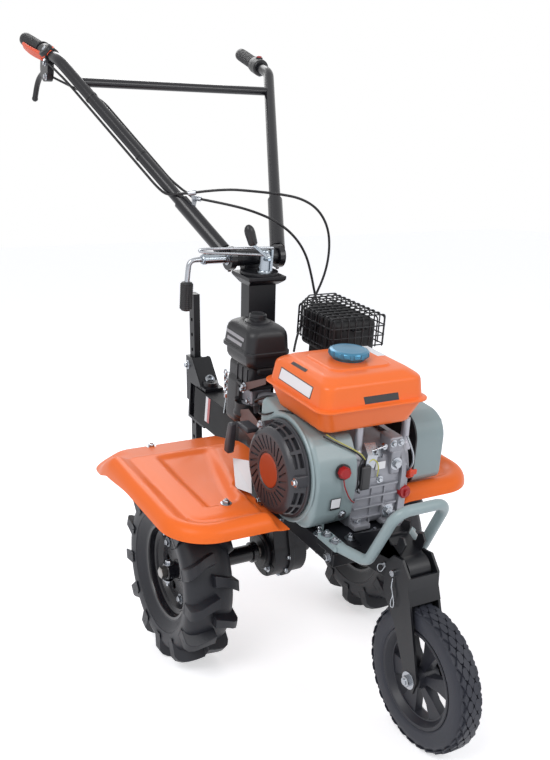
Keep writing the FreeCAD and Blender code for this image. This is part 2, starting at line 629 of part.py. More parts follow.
def make_engine():
    """Crankcase and inclined finned cylinder as one solid, with the shaft to the belt side."""
    case = block(CRANKCASE_REAR, CRANKCASE_FRONT, CRANKCASE_RIGHT, CRANKCASE_LEFT, DECK_TOP, CRANKCASE_TOP)
    corner = [e for e in case.Edges if abs(e.tangentAt(e.FirstParameter).y) > 0.9
              and e.CenterOfMass.z > CRANKCASE_TOP - 1]
    case = case.makeFillet(38.0, corner)
    head = block(0, CYLINDER_REACH, CYLINDER_RIGHT, CYLINDER_LEFT, -CYLINDER_THICK / 2, CYLINDER_THICK / 2)
    head.rotate(V(0, 0, 0), LEFT, 180 + CYLINDER_TILT)
    head.translate(V(CRANK_X, 0, CRANK_Z))
    shaft = cylinder(V(CRANK_X, CRANKCASE_LEFT, CRANK_Z), V(CRANK_X, BELT_INSIDE - BELT_PLATE, CRANK_Z),
                     CRANKSHAFT_RADIUS)
    fins = []
    for index in range(FIN_COUNT):
        along = FIN_FIRST + (FIN_LAST - FIN_FIRST) * index / (FIN_COUNT - 1)
        reach = CYLINDER_THICK / 2 + FIN_RISE
        fin = block(along, along + FIN_THICKNESS, CYLINDER_RIGHT - FIN_SIDE, CYLINDER_LEFT + FIN_SIDE,
                    -reach, reach)
        fin.rotate(V(0, 0, 0), LEFT, 180 + CYLINDER_TILT)
        fin.translate(V(CRANK_X, 0, CRANK_Z))
        fins.append(fin)
    return joined([case, head, shaft] + fins)


def make_shroud():
    """Cowling round the flywheel, from the deck up to the tank."""
    outline = [(SHROUD_REAR, CRANK_Z), (SHROUD_REAR + 6, CRANK_Z - 31), (CRANK_X - 62, SHROUD_BOTTOM + 6),
               (SHROUD_FRONT - 30, SHROUD_BOTTOM), (SHROUD_FRONT - 4, SHROUD_BOTTOM + 30),
               (SHROUD_FRONT, CRANK_Z + 19), (SHROUD_FRONT - 30, SHROUD_TOP - 14),
               (CRANK_X - 32, SHROUD_TOP - 4), (SHROUD_REAR, SHROUD_TOP)]
    return side_plate(outline, SHROUD_OUTER, CRANKCASE_RIGHT - 1.0, SHROUD_ROUNDING)


def make_recoil():
    flange = cylinder(V(CRANK_X, SHROUD_OUTER - RECOIL_FLANGE, CRANK_Z), V(CRANK_X, SHROUD_OUTER, CRANK_Z),
                      RECOIL_FLANGE_RADIUS)
    dome = cylinder(V(CRANK_X, RECOIL_FACE, CRANK_Z), V(CRANK_X, SHROUD_OUTER - RECOIL_FLANGE, CRANK_Z),
                    RECOIL_RADIUS + 6)
    rim = [e for e in dome.Edges if abs(e.CenterOfMass.y - RECOIL_FACE) < 0.1 and e.Length > 100]
    dome = dome.makeFillet(7.0, rim)
    for index in range(RECOIL_SLOTS):
        slot = block(RECOIL_HUB_RADIUS, RECOIL_RADIUS - 4, RECOIL_FACE - 1, RECOIL_FACE + RECOIL_SLOT_DEPTH,
                     -RECOIL_SLOT_WIDTH / 2, RECOIL_SLOT_WIDTH / 2)
        slot.rotate(V(0, 0, 0), LEFT, index * 360.0 / RECOIL_SLOTS)
        slot.translate(V(CRANK_X, 0, CRANK_Z))
        dome = dome.cut(slot)
    return joined([flange, dome])


def make_recoil_grip():
    """Cord grip that rests against the rear of the starter."""
    half = RECOIL_GRIP_WIDTH / 2
    return rounded_block(RECOIL_GRIP_X - half, RECOIL_GRIP_X + half, RECOIL_GRIP_Y - half,
                         RECOIL_GRIP_Y + half, RECOIL_GRIP_BOTTOM,
                         RECOIL_GRIP_BOTTOM + RECOIL_GRIP_LENGTH, 5.0)


def make_tank():
    """Two pressed halves on a flange."""
    def level(z, inset, radius):
        return rounded_rectangle(TANK_REAR + inset, TANK_FRONT - inset, TANK_RIGHT + inset,
                                 TANK_LEFT - inset, z, radius)

    corner = TANK_CORNER - TANK_SEAM + 2.0
    pad_base = TANK_TOP - TANK_PAD
    lower = Part.makeLoft([level(TANK_BOTTOM, TANK_FLOOR_INSET, corner),
                           level(TANK_FLANGE_Z, TANK_SEAM, corner)], True, True)
    flange = Part.Face(level(TANK_FLANGE_Z, 0, TANK_CORNER)).extrude(V(0, 0, TANK_FLANGE))
    upper = Part.makeLoft([level(TANK_FLANGE_Z + TANK_FLANGE, TANK_SEAM, corner),
                           level(TANK_SHOULDER, TANK_SHOULDER_INSET, corner)], True, True)
    crown = Part.makeLoft([level(TANK_SHOULDER, TANK_SHOULDER_INSET, corner),
                           level(pad_base, TANK_CROWN_INSET, corner)], True, True)
    pad = Part.makeLoft([level(pad_base, TANK_PAD_INSET - TANK_PAD, TANK_CORNER),
                         level(TANK_TOP, TANK_PAD_INSET, TANK_CORNER)], True, True)
    return joined([lower, flange, upper, crown, pad])


def make_tank_feet():
    """Pillars that carry the tank on the crankcase."""
    feet = []
    for x in (TANK_REAR + 60, TANK_FRONT - 52):
        for y in (CRANKCASE_RIGHT + 22, CRANKCASE_LEFT - 22):
            feet.append(cylinder(V(x, y, CRANKCASE_TOP - 20), V(x, y, TANK_BOTTOM), 9.0))
    return feet


def make_fuel_cap():
    x = (TANK_REAR + TANK_FRONT) / 2
    y = (TANK_RIGHT + TANK_LEFT) / 2
    cap = cylinder(V(x, y, TANK_TOP), V(x, y, TANK_TOP + CAP_HEIGHT), CAP_RADIUS)
    crown = [e for e in cap.Edges if e.CenterOfMass.z > TANK_TOP + CAP_HEIGHT - 1 and e.Length > 100]
    cap = cap.makeFillet(5.0, crown)
    reach = CAP_RADIUS + CAP_SCALLOP_RADIUS - CAP_SCALLOP_DEPTH
    for index in range(CAP_SCALLOPS):
        angle = math.tau * index / CAP_SCALLOPS
        hollow = V(x + reach * math.cos(angle), y + reach * math.sin(angle), TANK_TOP + 3)
        cap = cap.cut(cylinder(hollow, hollow.add(V(0, 0, CAP_HEIGHT)), CAP_SCALLOP_RADIUS))
    return cap


def make_air_filter():
    split = FILTER_TOP - FILTER_COVER
    cover = rounded_block(FILTER_REAR, FILTER_FRONT, FILTER_RIGHT, FILTER_LEFT, split, FILTER_TOP,
                          FILTER_ROUNDING)
    body = rounded_block(FILTER_REAR + FILTER_STEP, FILTER_FRONT - FILTER_STEP,
                         FILTER_RIGHT + FILTER_STEP, FILTER_LEFT - FILTER_STEP,
                         FILTER_BOTTOM, split + FILTER_ROUNDING, FILTER_ROUNDING, "upright")
    x = (FILTER_REAR + FILTER_FRONT) / 2
    y = (FILTER_RIGHT + FILTER_LEFT) / 2
    knob = cylinder(V(x, y, FILTER_TOP - 2), V(x, y, FILTER_TOP + FILTER_KNOB), FILTER_KNOB_RADIUS)
    neck = block(x - 30, x + 44, y - 34, y + 30, FILTER_BOTTOM - CARBURETTOR_DROP, FILTER_BOTTOM + 2)
    return joined([cover, body, knob, neck])


def make_carburettor():
    x = (FILTER_REAR + FILTER_FRONT) / 2
    y = (FILTER_RIGHT + FILTER_LEFT) / 2
    top = FILTER_BOTTOM - CARBURETTOR_DROP
    return rounded_block(x - 22, x + 40, y - 26, y + 10, top - CARBURETTOR_HEIGHT, top, 6.0)


def make_muffler():
    """Pressed box with upright grooves, on a short pipe from the cylinder."""
    plan = [(MUFFLER_REAR + MUFFLER_CHAMFER, MUFFLER_RIGHT), (MUFFLER_FRONT, MUFFLER_RIGHT),
            (MUFFLER_FRONT, MUFFLER_LEFT), (MUFFLER_REAR, MUFFLER_LEFT),
            (MUFFLER_REAR, MUFFLER_RIGHT + MUFFLER_CHAMFER)]
    points = [V(x, y, MUFFLER_BOTTOM) for x, y in plan]
    body = Part.Face(Part.makePolygon(points + points[:1])).extrude(V(0, 0, MUFFLER_TOP - MUFFLER_BOTTOM))
    body = body.makeFillet(MUFFLER_ROUNDING, body.Edges)
    pitch = (MUFFLER_FRONT - MUFFLER_REAR) / (MUFFLER_GROOVES + 1)
    for index in range(MUFFLER_GROOVES):
        x = MUFFLER_REAR + (index + 1) * pitch
        if x > MUFFLER_REAR + MUFFLER_CHAMFER:
            groove = block(x - MUFFLER_GROOVE / 2, x + MUFFLER_GROOVE / 2, MUFFLER_RIGHT - 1,
                           MUFFLER_RIGHT + MUFFLER_GROOVE_DEPTH, MUFFLER_BOTTOM + 14, MUFFLER_TOP + 1)
            body = body.cut(groove)
    front = EXHAUST_PIPE_REAR + EXHAUST_PIPE
    side = MUFFLER_RIGHT + 6
    elbow_top = EXHAUST_PORT_Z + EXHAUST_PIPE
    down = block(EXHAUST_PIPE_REAR, front, side, side + EXHAUST_PIPE, elbow_top - 10, MUFFLER_BOTTOM + 6)
    elbow = block(EXHAUST_PIPE_REAR, front, CYLINDER_LEFT, side + EXHAUST_PIPE, EXHAUST_PORT_Z, elbow_top)
    return joined([body, down, elbow])


def make_guard():
    """Welded wire cage over the muffler, open below, with its rear right corner cut off."""
    x0 = MUFFLER_REAR - GUARD_REAR_GAP
    x1 = MUFFLER_FRONT + GUARD_GAP
    y0 = MUFFLER_RIGHT - GUARD_GAP
    y1 = MUFFLER_LEFT + GUARD_GAP
    top = MUFFLER_TOP + GUARD_GAP
    bottom = top - GUARD_DEPTH
    half = GUARD_WIRE / 2
    rim = [(x0 + GUARD_CHAMFER, y0), (x1, y0), (x1, y1), (x0, y1), (x0, y0 + GUARD_CHAMFER)]
    wires = []

    def level_wire(ax, ay, bx, by, z):
        length = math.hypot(bx - ax, by - ay)
        wire = block(-half, length + half, -half, half, -half, half)
        wire.rotate(V(0, 0, 0), UP, math.degrees(math.atan2(by - ay, bx - ax)))
        wire.translate(V(ax, ay, z))
        wires.append(wire)

    levels = round(GUARD_DEPTH / GUARD_PITCH)
    for (ax, ay), (bx, by) in zip(rim, rim[1:] + rim[:1]):
        for index in range(levels + 1):
            level_wire(ax, ay, bx, by, top - index * GUARD_DEPTH / levels)
        steps = max(1, round(math.hypot(bx - ax, by - ay) / GUARD_PITCH))
        for index in range(steps):
            share = index / steps
            x = ax + (bx - ax) * share
            y = ay + (by - ay) * share
            wires.append(block(x - half, x + half, y - half, y + half, bottom - half, top + half))
    columns = round((x1 - x0) / GUARD_PITCH)
    for index in range(1, columns):
        x = x0 + (x1 - x0) * index / columns
        level_wire(x, y0 + max(0.0, x0 + GUARD_CHAMFER - x), x, y1, top)
    rows = round((y1 - y0) / GUARD_PITCH)
    for index in range(1, rows):
        y = y0 + (y1 - y0) * index / rows
        level_wire(x0 + max(0.0, y0 + GUARD_CHAMFER - y), y, x1, y, top)
    tab_x = x0 + GUARD_CHAMFER + (x1 - x0 - GUARD_CHAMFER) / 2
    middle = (top + bottom) / 2
    tab = block(tab_x, tab_x + 20, y0 - half, MUFFLER_RIGHT + GUARD_WIRE, middle, middle + 4)
    return joined(wires + [tab.cut(make_muffler())])


def make_belt_slab(y0, y1, grow):
    """The cover's outline, grown by a margin at the front, top and rear, from y0 to y1."""
    front = BELT_FRONT + grow
    top = BELT_TOP + grow
    rear = BELT_REAR - grow
    outline = [(front, BELT_BOTTOM), (front, top - BELT_FRONT_DROP),
               (front - BELT_NOSE, top - BELT_NOSE_DROP), (BELT_CROWN_X, top),
               (rear + BELT_TAIL, top - BELT_TAIL_DROP), (rear, top - BELT_REAR_DROP), (rear, BELT_BOTTOM)]
    return side_plate(outline, y0, y1, BELT_CORNER)


def make_belt_cover():
    cover = make_belt_slab(BELT_INSIDE, BELT_OUTSIDE, 0.0)
    rim = [e for e in cover.Edges if abs(e.CenterOfMass.y - BELT_OUTSIDE) < 0.1]
    return cover.makeFillet(BELT_EDGE, rim)


def make_belt_plate():
    """Black back plate between the engine and the belt cover."""
    return make_belt_slab(BELT_INSIDE - BELT_PLATE, BELT_INSIDE, BELT_PLATE_MARGIN)


def make_fender(side):
    """Pressed sheet: a rolled rim round a sunk pan, and a low shelf under the starter."""
    low = FENDER_TOP - FENDER_SKIRT

    def pressing(inset):
        """The solid under the sheet's skin, inset from it."""
        top = FENDER_TOP - inset
        pan = FENDER_PAN - inset
        shelf = FENDER_SHELF - inset
        rear = FENDER_REAR + inset
        front = FENDER_FRONT - inset
        out = FENDER_OUTSIDE - inset
        plan = [(rear, FENDER_INSIDE), (rear, out), (front, out), (front, FENDER_ENGINE_SIDE),
                (FENDER_NOTCH, FENDER_ENGINE_SIDE), (FENDER_NOTCH, FENDER_INSIDE)]
        points = [V(x, y, low) for x, y in plan]
        solid = Part.Face(Part.makePolygon(points + points[:1])).extrude(V(0, 0, top - low))
        corners = [e for e in solid.Edges if abs(e.tangentAt(e.FirstParameter).z) > 0.9
                   and e.CenterOfMass.y > out - 1]
        solid = solid.makeFillet(FENDER_CORNER - inset, corners)
        rim = [e for e in solid.Edges if abs(e.CenterOfMass.z - top) < 0.1
               and (e.CenterOfMass.x < rear + FENDER_CORNER or e.CenterOfMass.x > front - FENDER_CORNER
                    or e.CenterOfMass.y > out - 1)]
        solid = solid.makeFillet(FENDER_EDGE - inset, rim)
        shift = inset * math.tan(math.radians(22.5))
        depth = top - pan
        x0 = FENDER_REAR + FENDER_REAR_RIM + depth - shift
        x1 = FENDER_FRONT - FENDER_PAN_INSET - depth + shift
        y1 = FENDER_OUTSIDE - FENDER_PAN_INSET - depth + shift
        spread = depth + 2
        hollow = Part.makeLoft([
            rounded_rectangle(x0, x1, 0, y1, pan, FENDER_CORNER / 2),
            rounded_rectangle(x0 - spread, x1 + spread, 0, y1 + spread, top + 2, FENDER_CORNER / 2 + depth)],
            True, True)
        drop = top - shelf
        edge = FENDER_SHELF_EDGE + shift
        start = FENDER_NOTCH + FENDER_SHELF_LIP - shift
        above = top + FENDER_WALL
        step = [V(start, 0, shelf), V(start, edge, shelf), V(start, edge + drop, top),
                V(start, edge + drop, above), V(start, 0, above)]
        shelf_cut = Part.Face(Part.makePolygon(step + step[:1])).extrude(V(front - FENDER_NOTCH, 0, 0))
        return solid.cut(hollow).cut(shelf_cut)

    sheet = pressing(0.0).cut(pressing(FENDER_WALL))
    under = block(FENDER_REAR + FENDER_WALL, FENDER_NOTCH + 1, FENDER_INSIDE - 1, FENDER_INSIDE + 1, low,
                  FENDER_PAN - FENDER_WALL)
    beside = block(FENDER_NOTCH - 1, FENDER_FRONT - FENDER_WALL, FENDER_ENGINE_SIDE - 1,
                   FENDER_ENGINE_SIDE + 1, low, FENDER_SHELF - FENDER_WALL)
    sheet = sheet.cut(under).cut(beside)
    return sheet if side > 0 else mirrored(sheet)


def make_fender_stays():
    """Flat steel arms from the rails and the yoke out to the raised part of each fender."""
    stays = []
    foot = FENDER_TOP - FENDER_SKIRT - 6.0
    head = FENDER_TOP - FENDER_WALL
    for x, start in ((FENDER_REAR + 40, HITCH_HALF_WIDTH), (FENDER_FRONT - 90, RAIL_Y + RAIL_WIDTH / 2)):
        z = min(foot, DECK_TOP - DECK_PLATE - 6.0)
        arm = block(x - 14, x + 14, start, FENDER_OUTSIDE - 75, z, z + 6)
        leg = block(x - 14, x + 14, FENDER_OUTSIDE - 81, FENDER_OUTSIDE - 75, z, head)
        stay = joined([arm, leg])
        stays += [stay, mirrored(stay)]
    return stays


def make_bracket():
    """Box arm from the deck out to the fork's hinge."""
    outline = [(CRANKCASE_FRONT + 6, DECK_TOP), (RAIL_FRONT + 60, BRACKET_REAR_TOP),
               (FORK_PIN_X, FORK_PIN_Z + BRACKET_NOSE_RADIUS), (FORK_PIN_X, FORK_PIN_Z - BRACKET_NOSE_RADIUS),
               (RAIL_FRONT, DECK_TOP - RAIL_HEIGHT), (RAIL_FRONT, DECK_TOP)]
    arm = side_plate(outline, -BRACKET_HALF_WIDTH, BRACKET_HALF_WIDTH)
    right = V(FORK_PIN_X, -BRACKET_HALF_WIDTH, FORK_PIN_Z)
    left = V(FORK_PIN_X, BRACKET_HALF_WIDTH, FORK_PIN_Z)
    nose = cylinder(right, left, BRACKET_NOSE_RADIUS)
    return joined([arm, nose]).cut(cylinder(right, left, FORK_PIN_RADIUS + RUNNING_GAP))


def make_bumper():
    """One bent tube: two flattened, bolted legs that rise to a hoop."""
    low = DECK_TOP + BUMPER_SEAT
    axis_z = low + BUMPER_FLAT / 2
    half = [V(BUMPER_FLAT_FRONT - 8, -BUMPER_REAR_Y, axis_z), V(BUMPER_VERTEX_X, -BUMPER_VERTEX_Y, axis_z),
            V(BUMPER_TOP_X, -BUMPER_TOP_Y, BUMPER_TOP_Z)]
    other = [V(p.x, -p.y, p.z) for p in reversed(half)]
    tube = bent_tube(half + other, [26.0, 30.0, 30.0, 26.0], BUMPER_RADIUS)
    flats = []
    for side in (-1, 1):
        inner = side * (BUMPER_REAR_Y - BUMPER_FLAT_WIDTH / 2)
        outer = side * (BUMPER_REAR_Y + BUMPER_FLAT_WIDTH / 2)
        flats.append(rounded_block(BUMPER_REAR_X, BUMPER_FLAT_FRONT, min(inner, outer), max(inner, outer),
                                   low, low + BUMPER_FLAT, 4.0, "upright"))
    return joined([tube] + flats)


def post_point(z, ahead=0.0):
    """A point on the post's middle line at height z."""
    lean = math.radians(POST_LEAN)
    return V(POST_X - (z - FILTER_TOP) * math.tan(lean) + ahead, 0, z)


def make_post():
    foot = post_point(POST_FOOT_Z)
    top = post_point(POST_TOP_Z)
    half = POST_DEPTH / 2
    outline = [(foot.x - half, foot.z), (foot.x + half, foot.z), (top.x + half, top.z), (top.x - half, top.z)]
    tube = side_plate(outline, -POST_WIDTH / 2, POST_WIDTH / 2)
    plate = block(top.x - 44, top.x + 44, -48, 48, top.z, top.z + HEAD_PLATE)
    shoe = block(post_point(HITCH_TOP).x - half, CASE_REAR, -POST_WIDTH / 2, POST_WIDTH / 2,
                 HITCH_BOTTOM, foot.z + 8)
    return joined([tube, plate, shoe])


def make_hitch():
    """Yoke behind the case that carries the holder's upright pin."""
    front = post_point(HITCH_TOP).x - POST_DEPTH / 2
    body = block(HITCH_PIN_X - 30, front, -HITCH_HALF_WIDTH, HITCH_HALF_WIDTH, HITCH_BOTTOM, HITCH_TOP)
    bore = cylinder(V(HITCH_PIN_X, 0, HITCH_BOTTOM), V(HITCH_PIN_X, 0, HITCH_TOP),
                    HITCH_PIN_RADIUS + RUNNING_GAP)
    return body.cut(bore)


# --- handle head ------------------------------------------------------------------------------------
def make_head():
    """Turntable on the post with the cross tube that the handlebar hinges on."""
    top = post_point(POST_TOP_Z)
    floor = top.z + HEAD_PLATE
    table = cylinder(V(top.x, 0, floor + TOUCH_GAP), V(top.x, 0, floor + 7), 44.0)
    reach = CHEEK_INSIDE - 1.0
    tube = cylinder(V(PIVOT_X, -reach, PIVOT_Z), V(PIVOT_X, reach, PIVOT_Z), PIVOT_TUBE_RADIUS)
    web = block(PIVOT_X - 12, PIVOT_X + 12, -30, 30, floor + 6, PIVOT_Z)
    bolt = cylinder(V(PIVOT_X, -CHEEK_INSIDE - CHEEK_PLATE - 63, PIVOT_Z),
                    V(PIVOT_X, CHEEK_INSIDE + CHEEK_PLATE + 8, PIVOT_Z), PIVOT_BOLT_RADIUS)
    return joined([table, tube, web, bolt])


def make_clamp_spool():
    top = post_point(POST_TOP_Z)
    floor = top.z + HEAD_PLATE + 7
    spool = cylinder(V(top.x + 22, 0, floor), V(top.x + 22, 0, floor + 44), 11.0)
    z = floor + 38
    far = -HEAD_LOOP_REACH
    loop = bent_tube([V(top.x + 22, 8, z), V(top.x + 22, far, z + 4), V(top.x + 8, far, z + 4),
                      V(top.x + 12, -4, z)], [6.0, 6.0], 3.0)
    return joined([spool, loop])


def make_clamp_lever():
    """Cranked lever that turns the spool, with a black knob."""
    top = post_point(POST_TOP_Z)
    foot = V(top.x + 34, 4, top.z + HEAD_PLATE + 7 + 40)
    bend = foot.add(V(6, -44, 44))
    tip = bend.add(V(3, -20, 40))
    rod = cylinder(foot, bend, 4.0)
    knob = cylinder(bend, tip, 13.0)
    knob = knob.makeFillet(6.0, [e for e in knob.Edges if e.Length > 60])
    return joined([rod, knob]).cut(make_clamp_spool())


def make_height_clamp():
    start = -CHEEK_INSIDE - CHEEK_PLATE - 3.0
    end = start - CLAMP_SLEEVE
    elbow = end - 32.0
    hang = end - 35.0
    sleeve = cylinder(V(PIVOT_X, end, PIVOT_Z), V(PIVOT_X, start, PIVOT_Z), CLAMP_SLEEVE_RADIUS)
    bore = cylinder(V(PIVOT_X, end - 1, PIVOT_Z), V(PIVOT_X, start + 1, PIVOT_Z), PIVOT_BOLT_RADIUS)
    cap = cylinder(V(PIVOT_X, end - 10, PIVOT_Z), V(PIVOT_X, end, PIVOT_Z), CLAMP_SLEEVE_RADIUS)
    rod = bent_tube([V(PIVOT_X, end - 8, PIVOT_Z), V(PIVOT_X, elbow, PIVOT_Z),
                     V(PIVOT_X, hang, PIVOT_Z - 54)], [12.0], CLAMP_ROD_RADIUS)
    grip = cylinder(V(PIVOT_X, hang, PIVOT_Z - 50 - CLAMP_GRIP), V(PIVOT_X, hang, PIVOT_Z - 50),
                    CLAMP_GRIP_RADIUS)
    return joined([sleeve.cut(bore), cap, rod, grip])


# --- handlebar ----------------------------------------------------------------------------------------
def bar_point(share, side):
    """A point on one handlebar tube, from its disc (0) to its bend (1)."""
    start = V(PIVOT_X, side * (CHEEK_INSIDE + CHEEK_PLATE / 2), PIVOT_Z)
    bend = V(PIVOT_X + BAR_BEND.x, side * BAR_BEND.y, PIVOT_Z + BAR_BEND.z)
    return start.add(bend.sub(start) * share)


def grip_point(share, side):
    """A point from the bend (0) to the grip's end (1)."""
    bend = bar_point(1.0, side)
    end = V(PIVOT_X + GRIP_END.x, side * GRIP_END.y, PIVOT_Z + GRIP_END.z)
    return bend.add(end.sub(bend) * share)


def make_arm(side):
    """Disc on the pivot with the socket that the tube is bolted into."""
    inner = side * CHEEK_INSIDE
    outer = side * (CHEEK_INSIDE + CHEEK_PLATE)
    disc = cylinder(V(PIVOT_X, inner, PIVOT_Z), V(PIVOT_X, outer, PIVOT_Z), CHEEK_RADIUS)
    socket = cylinder(bar_point(0.035, side), bar_point(SLEEVE_SHARE, side), SLEEVE_RADIUS)
    clear = block(PIVOT_X - 60, PIVOT_X + 60, -CHEEK_INSIDE, CHEEK_INSIDE, PIVOT_Z - 60, PIVOT_Z + 80)
    bore = cylinder(V(PIVOT_X, inner - side * 20, PIVOT_Z), V(PIVOT_X, outer + side * 40, PIVOT_Z),
                    PIVOT_BOLT_RADIUS + RUNNING_GAP)
    return joined([disc, socket]).cut(clear).cut(bore)


def make_bars():
    shapes = []
    for side in (-1, 1):
        points = [bar_point(SLEEVE_SHARE, side), bar_point(1.0, side), grip_point(1.0, side)]
        shapes.append(bent_tube(points, [70.0], BAR_RADIUS))
    shapes.append(cylinder(bar_point(CROSSBAR_SHARE, -1), bar_point(CROSSBAR_SHARE, 1), CROSSBAR_RADIUS))
    return joined(shapes)


def make_grip(side):
    """Grip with what is clamped in front of it: the throttle and clutch lever, or the switch."""
    end = grip_point(1.0, side)
    along = end.sub(grip_point(0.0, side)).normalize()
    start = end.sub(along * GRIP_LENGTH)
    tip = end.add(along * 4.0)
    grip = cylinder(start, tip, GRIP_RADIUS)
    controls = make_levers(start, along) if side < 0 else [make_switch(start, along)]
    return grip.multiFuse(controls).cut(cylinder(start.sub(along * (2 * SWITCH_LENGTH)), end, BAR_RADIUS))


def make_switch(start, along):
    """Round switch housing with a button on top."""
    foot = start.sub(along * SWITCH_LENGTH)
    body = cylinder(foot, start, SWITCH_RADIUS)
    middle = foot.add(along * (SWITCH_LENGTH / 2))
    button = cylinder(middle, middle.add(UP * (SWITCH_RADIUS + 5.0)), 8.0)
    return joined([body, button])


def make_levers(start, along):
    """Throttle hub with its thumb lever, and the clutch lever on a bracket under the tube."""
    foot = start.sub(along * CONTROL_LENGTH)
    clamp = cylinder(foot, start, GRIP_RADIUS + 1.0)
    middle = foot.add(along * (CONTROL_LENGTH / 2))
    outward = V(0, -0.73, 0.68)
    hub = cylinder(middle, middle.add(outward * (GRIP_RADIUS + THROTTLE_HUB)), THROTTLE_HUB_RADIUS)
    below = V(0, -0.78, -0.63)
    across = along.cross(below).normalize() * (PADDLE_WIDTH / 2)
    root = middle.add(below * (GRIP_RADIUS - 1.0))
    tip = root.add(along * PADDLE_LENGTH)
    outline = [root.sub(across), root.add(across), tip.add(across * 0.6), tip.sub(across * 0.6)]
    paddle = Part.Face(Part.makePolygon(outline + outline[:1])).extrude(below * PADDLE_THICKNESS)
    bolt = middle.add(V(-6, 0, -CLUTCH_DROP))
    plate = side_plate([(middle.x - 14, middle.z), (middle.x + 16, middle.z), (bolt.x + 16, bolt.z - 6),
                        (bolt.x - 14, bolt.z - 6)], middle.y - 5, middle.y + 5)
    lever = bent_tube([bolt, bolt.add(V(-30, -2, -8)), bolt.add(V(-76, -6, -66))], [26.0],
                      CLUTCH_LEVER_RADIUS)
    return [clamp, hub, paddle, plate, lever]


# --- hitch holder and depth bar ---------------------------------------------------------------------------
def bar_lean(z):
    """The depth bar's middle at height z: upright once the machine is parked."""
    return BAR_X - (z - BAR_HOLD_Z) * math.tan(math.radians(PARK_PITCH))


def tilted_bar(z0, z1, depth, width):
    outline = [(bar_lean(z0) - depth / 2, z0), (bar_lean(z0) + depth / 2, z0),
               (bar_lean(z1) + depth / 2, z1), (bar_lean(z1) - depth / 2, z1)]
    return side_plate(outline, -width / 2, width / 2)


def make_holder():
    """Two plates over and under the yoke, with a square socket for the depth bar."""
    front = HITCH_PIN_X + 24
    rear = BAR_X + DEPTH_BAR_DEPTH / 2 + 2
    half = HOLDER_WIDTH / 2
    floor = HITCH_BOTTOM - HOLDER_GAP - HOLDER_PLATE
    roof = HITCH_TOP + HOLDER_GAP + HOLDER_PLATE
    head = roof + HOLDER_RISE
    upper = block(rear, front, -half, half, roof - HOLDER_PLATE, roof)
    lower = block(rear, front, -half, half, floor, floor + HOLDER_PLATE)
    back = block(rear, rear + HOLDER_PLATE, -half, half, floor, head)
    socket = tilted_bar(HITCH_BOTTOM + 30, head, DEPTH_BAR_DEPTH + 2 * SOCKET_WALL,
                        DEPTH_BAR_WIDTH + 2 * (SOCKET_WALL - 2))
    hollow = tilted_bar(floor - 50, head + 50, DEPTH_BAR_DEPTH + 2 * SLIDING_GAP,
                        DEPTH_BAR_WIDTH + 2 * SLIDING_GAP)
    pin = cylinder(V(HITCH_PIN_X, 0, floor - 8), V(HITCH_PIN_X, 0, roof + 14), HITCH_PIN_RADIUS)
    cap = cylinder(V(HITCH_PIN_X, 0, roof), V(HITCH_PIN_X, 0, roof + HITCH_CAP), HITCH_CAP_RADIUS)
    return joined([upper, lower, back, socket, pin, cap]).cut(hollow)


def make_depth_bar():
    bar = tilted_bar(DEPTH_BAR_BOTTOM, DEPTH_BAR_TOP, DEPTH_BAR_DEPTH, DEPTH_BAR_WIDTH)
    rise = BAR_HOLE_PITCH * math.cos(math.radians(PARK_PITCH))
    count = int((DEPTH_BAR_TOP - DEPTH_BAR_BOTTOM - 30) / rise)
    for index in range(count + 1):
        z = DEPTH_BAR_BOTTOM + BAR_HOLE_END + index * rise
        right = V(bar_lean(z), -DEPTH_BAR_WIDTH, z)
        left = V(bar_lean(z), DEPTH_BAR_WIDTH, z)
        bar = bar.cut(cylinder(right, left, BAR_HOLE_RADIUS))
    return bar


# --- control cables -----------------------------------------------------------------------------------------
def make_cable(points):
    radii = []
    for index in range(1, len(points) - 1):
        before = points[index].sub(points[index - 1])
        after = points[index + 1].sub(points[index])
        turn = before.getAngle(after)
        radii.append(0.45 * min(before.Length, after.Length) / math.tan(turn / 2))
    return bent_tube(points, radii, CABLE_RADIUS)


def make_bar_cables():
    """The sheaths that run up the right tube from the stop to the two levers."""
    return Part.makeCompound([make_cable(UPPER_THROTTLE_ROUTE), make_cable(UPPER_CLUTCH_ROUTE)])


def make_cable_stop():
    """Plate on the right arm with the two ferrules that the sheaths end in."""
    seat = bar_point(STOP_SHARE, -1)
    ferrules = []
    middles = []
    for route in (THROTTLE_ROUTE, CLUTCH_ROUTE):
        along = route[1].sub(route[0]).normalize()
        end = route[0].sub(along * TOUCH_GAP)
        start = end.sub(along * FERRULE_LENGTH)
        ferrules.append(cylinder(start, end, CABLE_STOP_RADIUS))
        middles.append((start + end) * 0.5)
    normal = (middles[0] - seat).cross(middles[1] - seat).normalize() * STOP_PLATE
    plate = Part.Face(Part.makePolygon([seat, middles[0], middles[1], seat])).extrude(normal)
    return joined(ferrules + [plate]).cut(make_arm(-1))


def park(shape):
    """Tip the level machine about the drive shaft until the transport wheel touches down."""
    placed = shape.copy()
    placed.rotate(V(0, 0, AXLE_Z), LEFT, PARK_PITCH)
    return placed


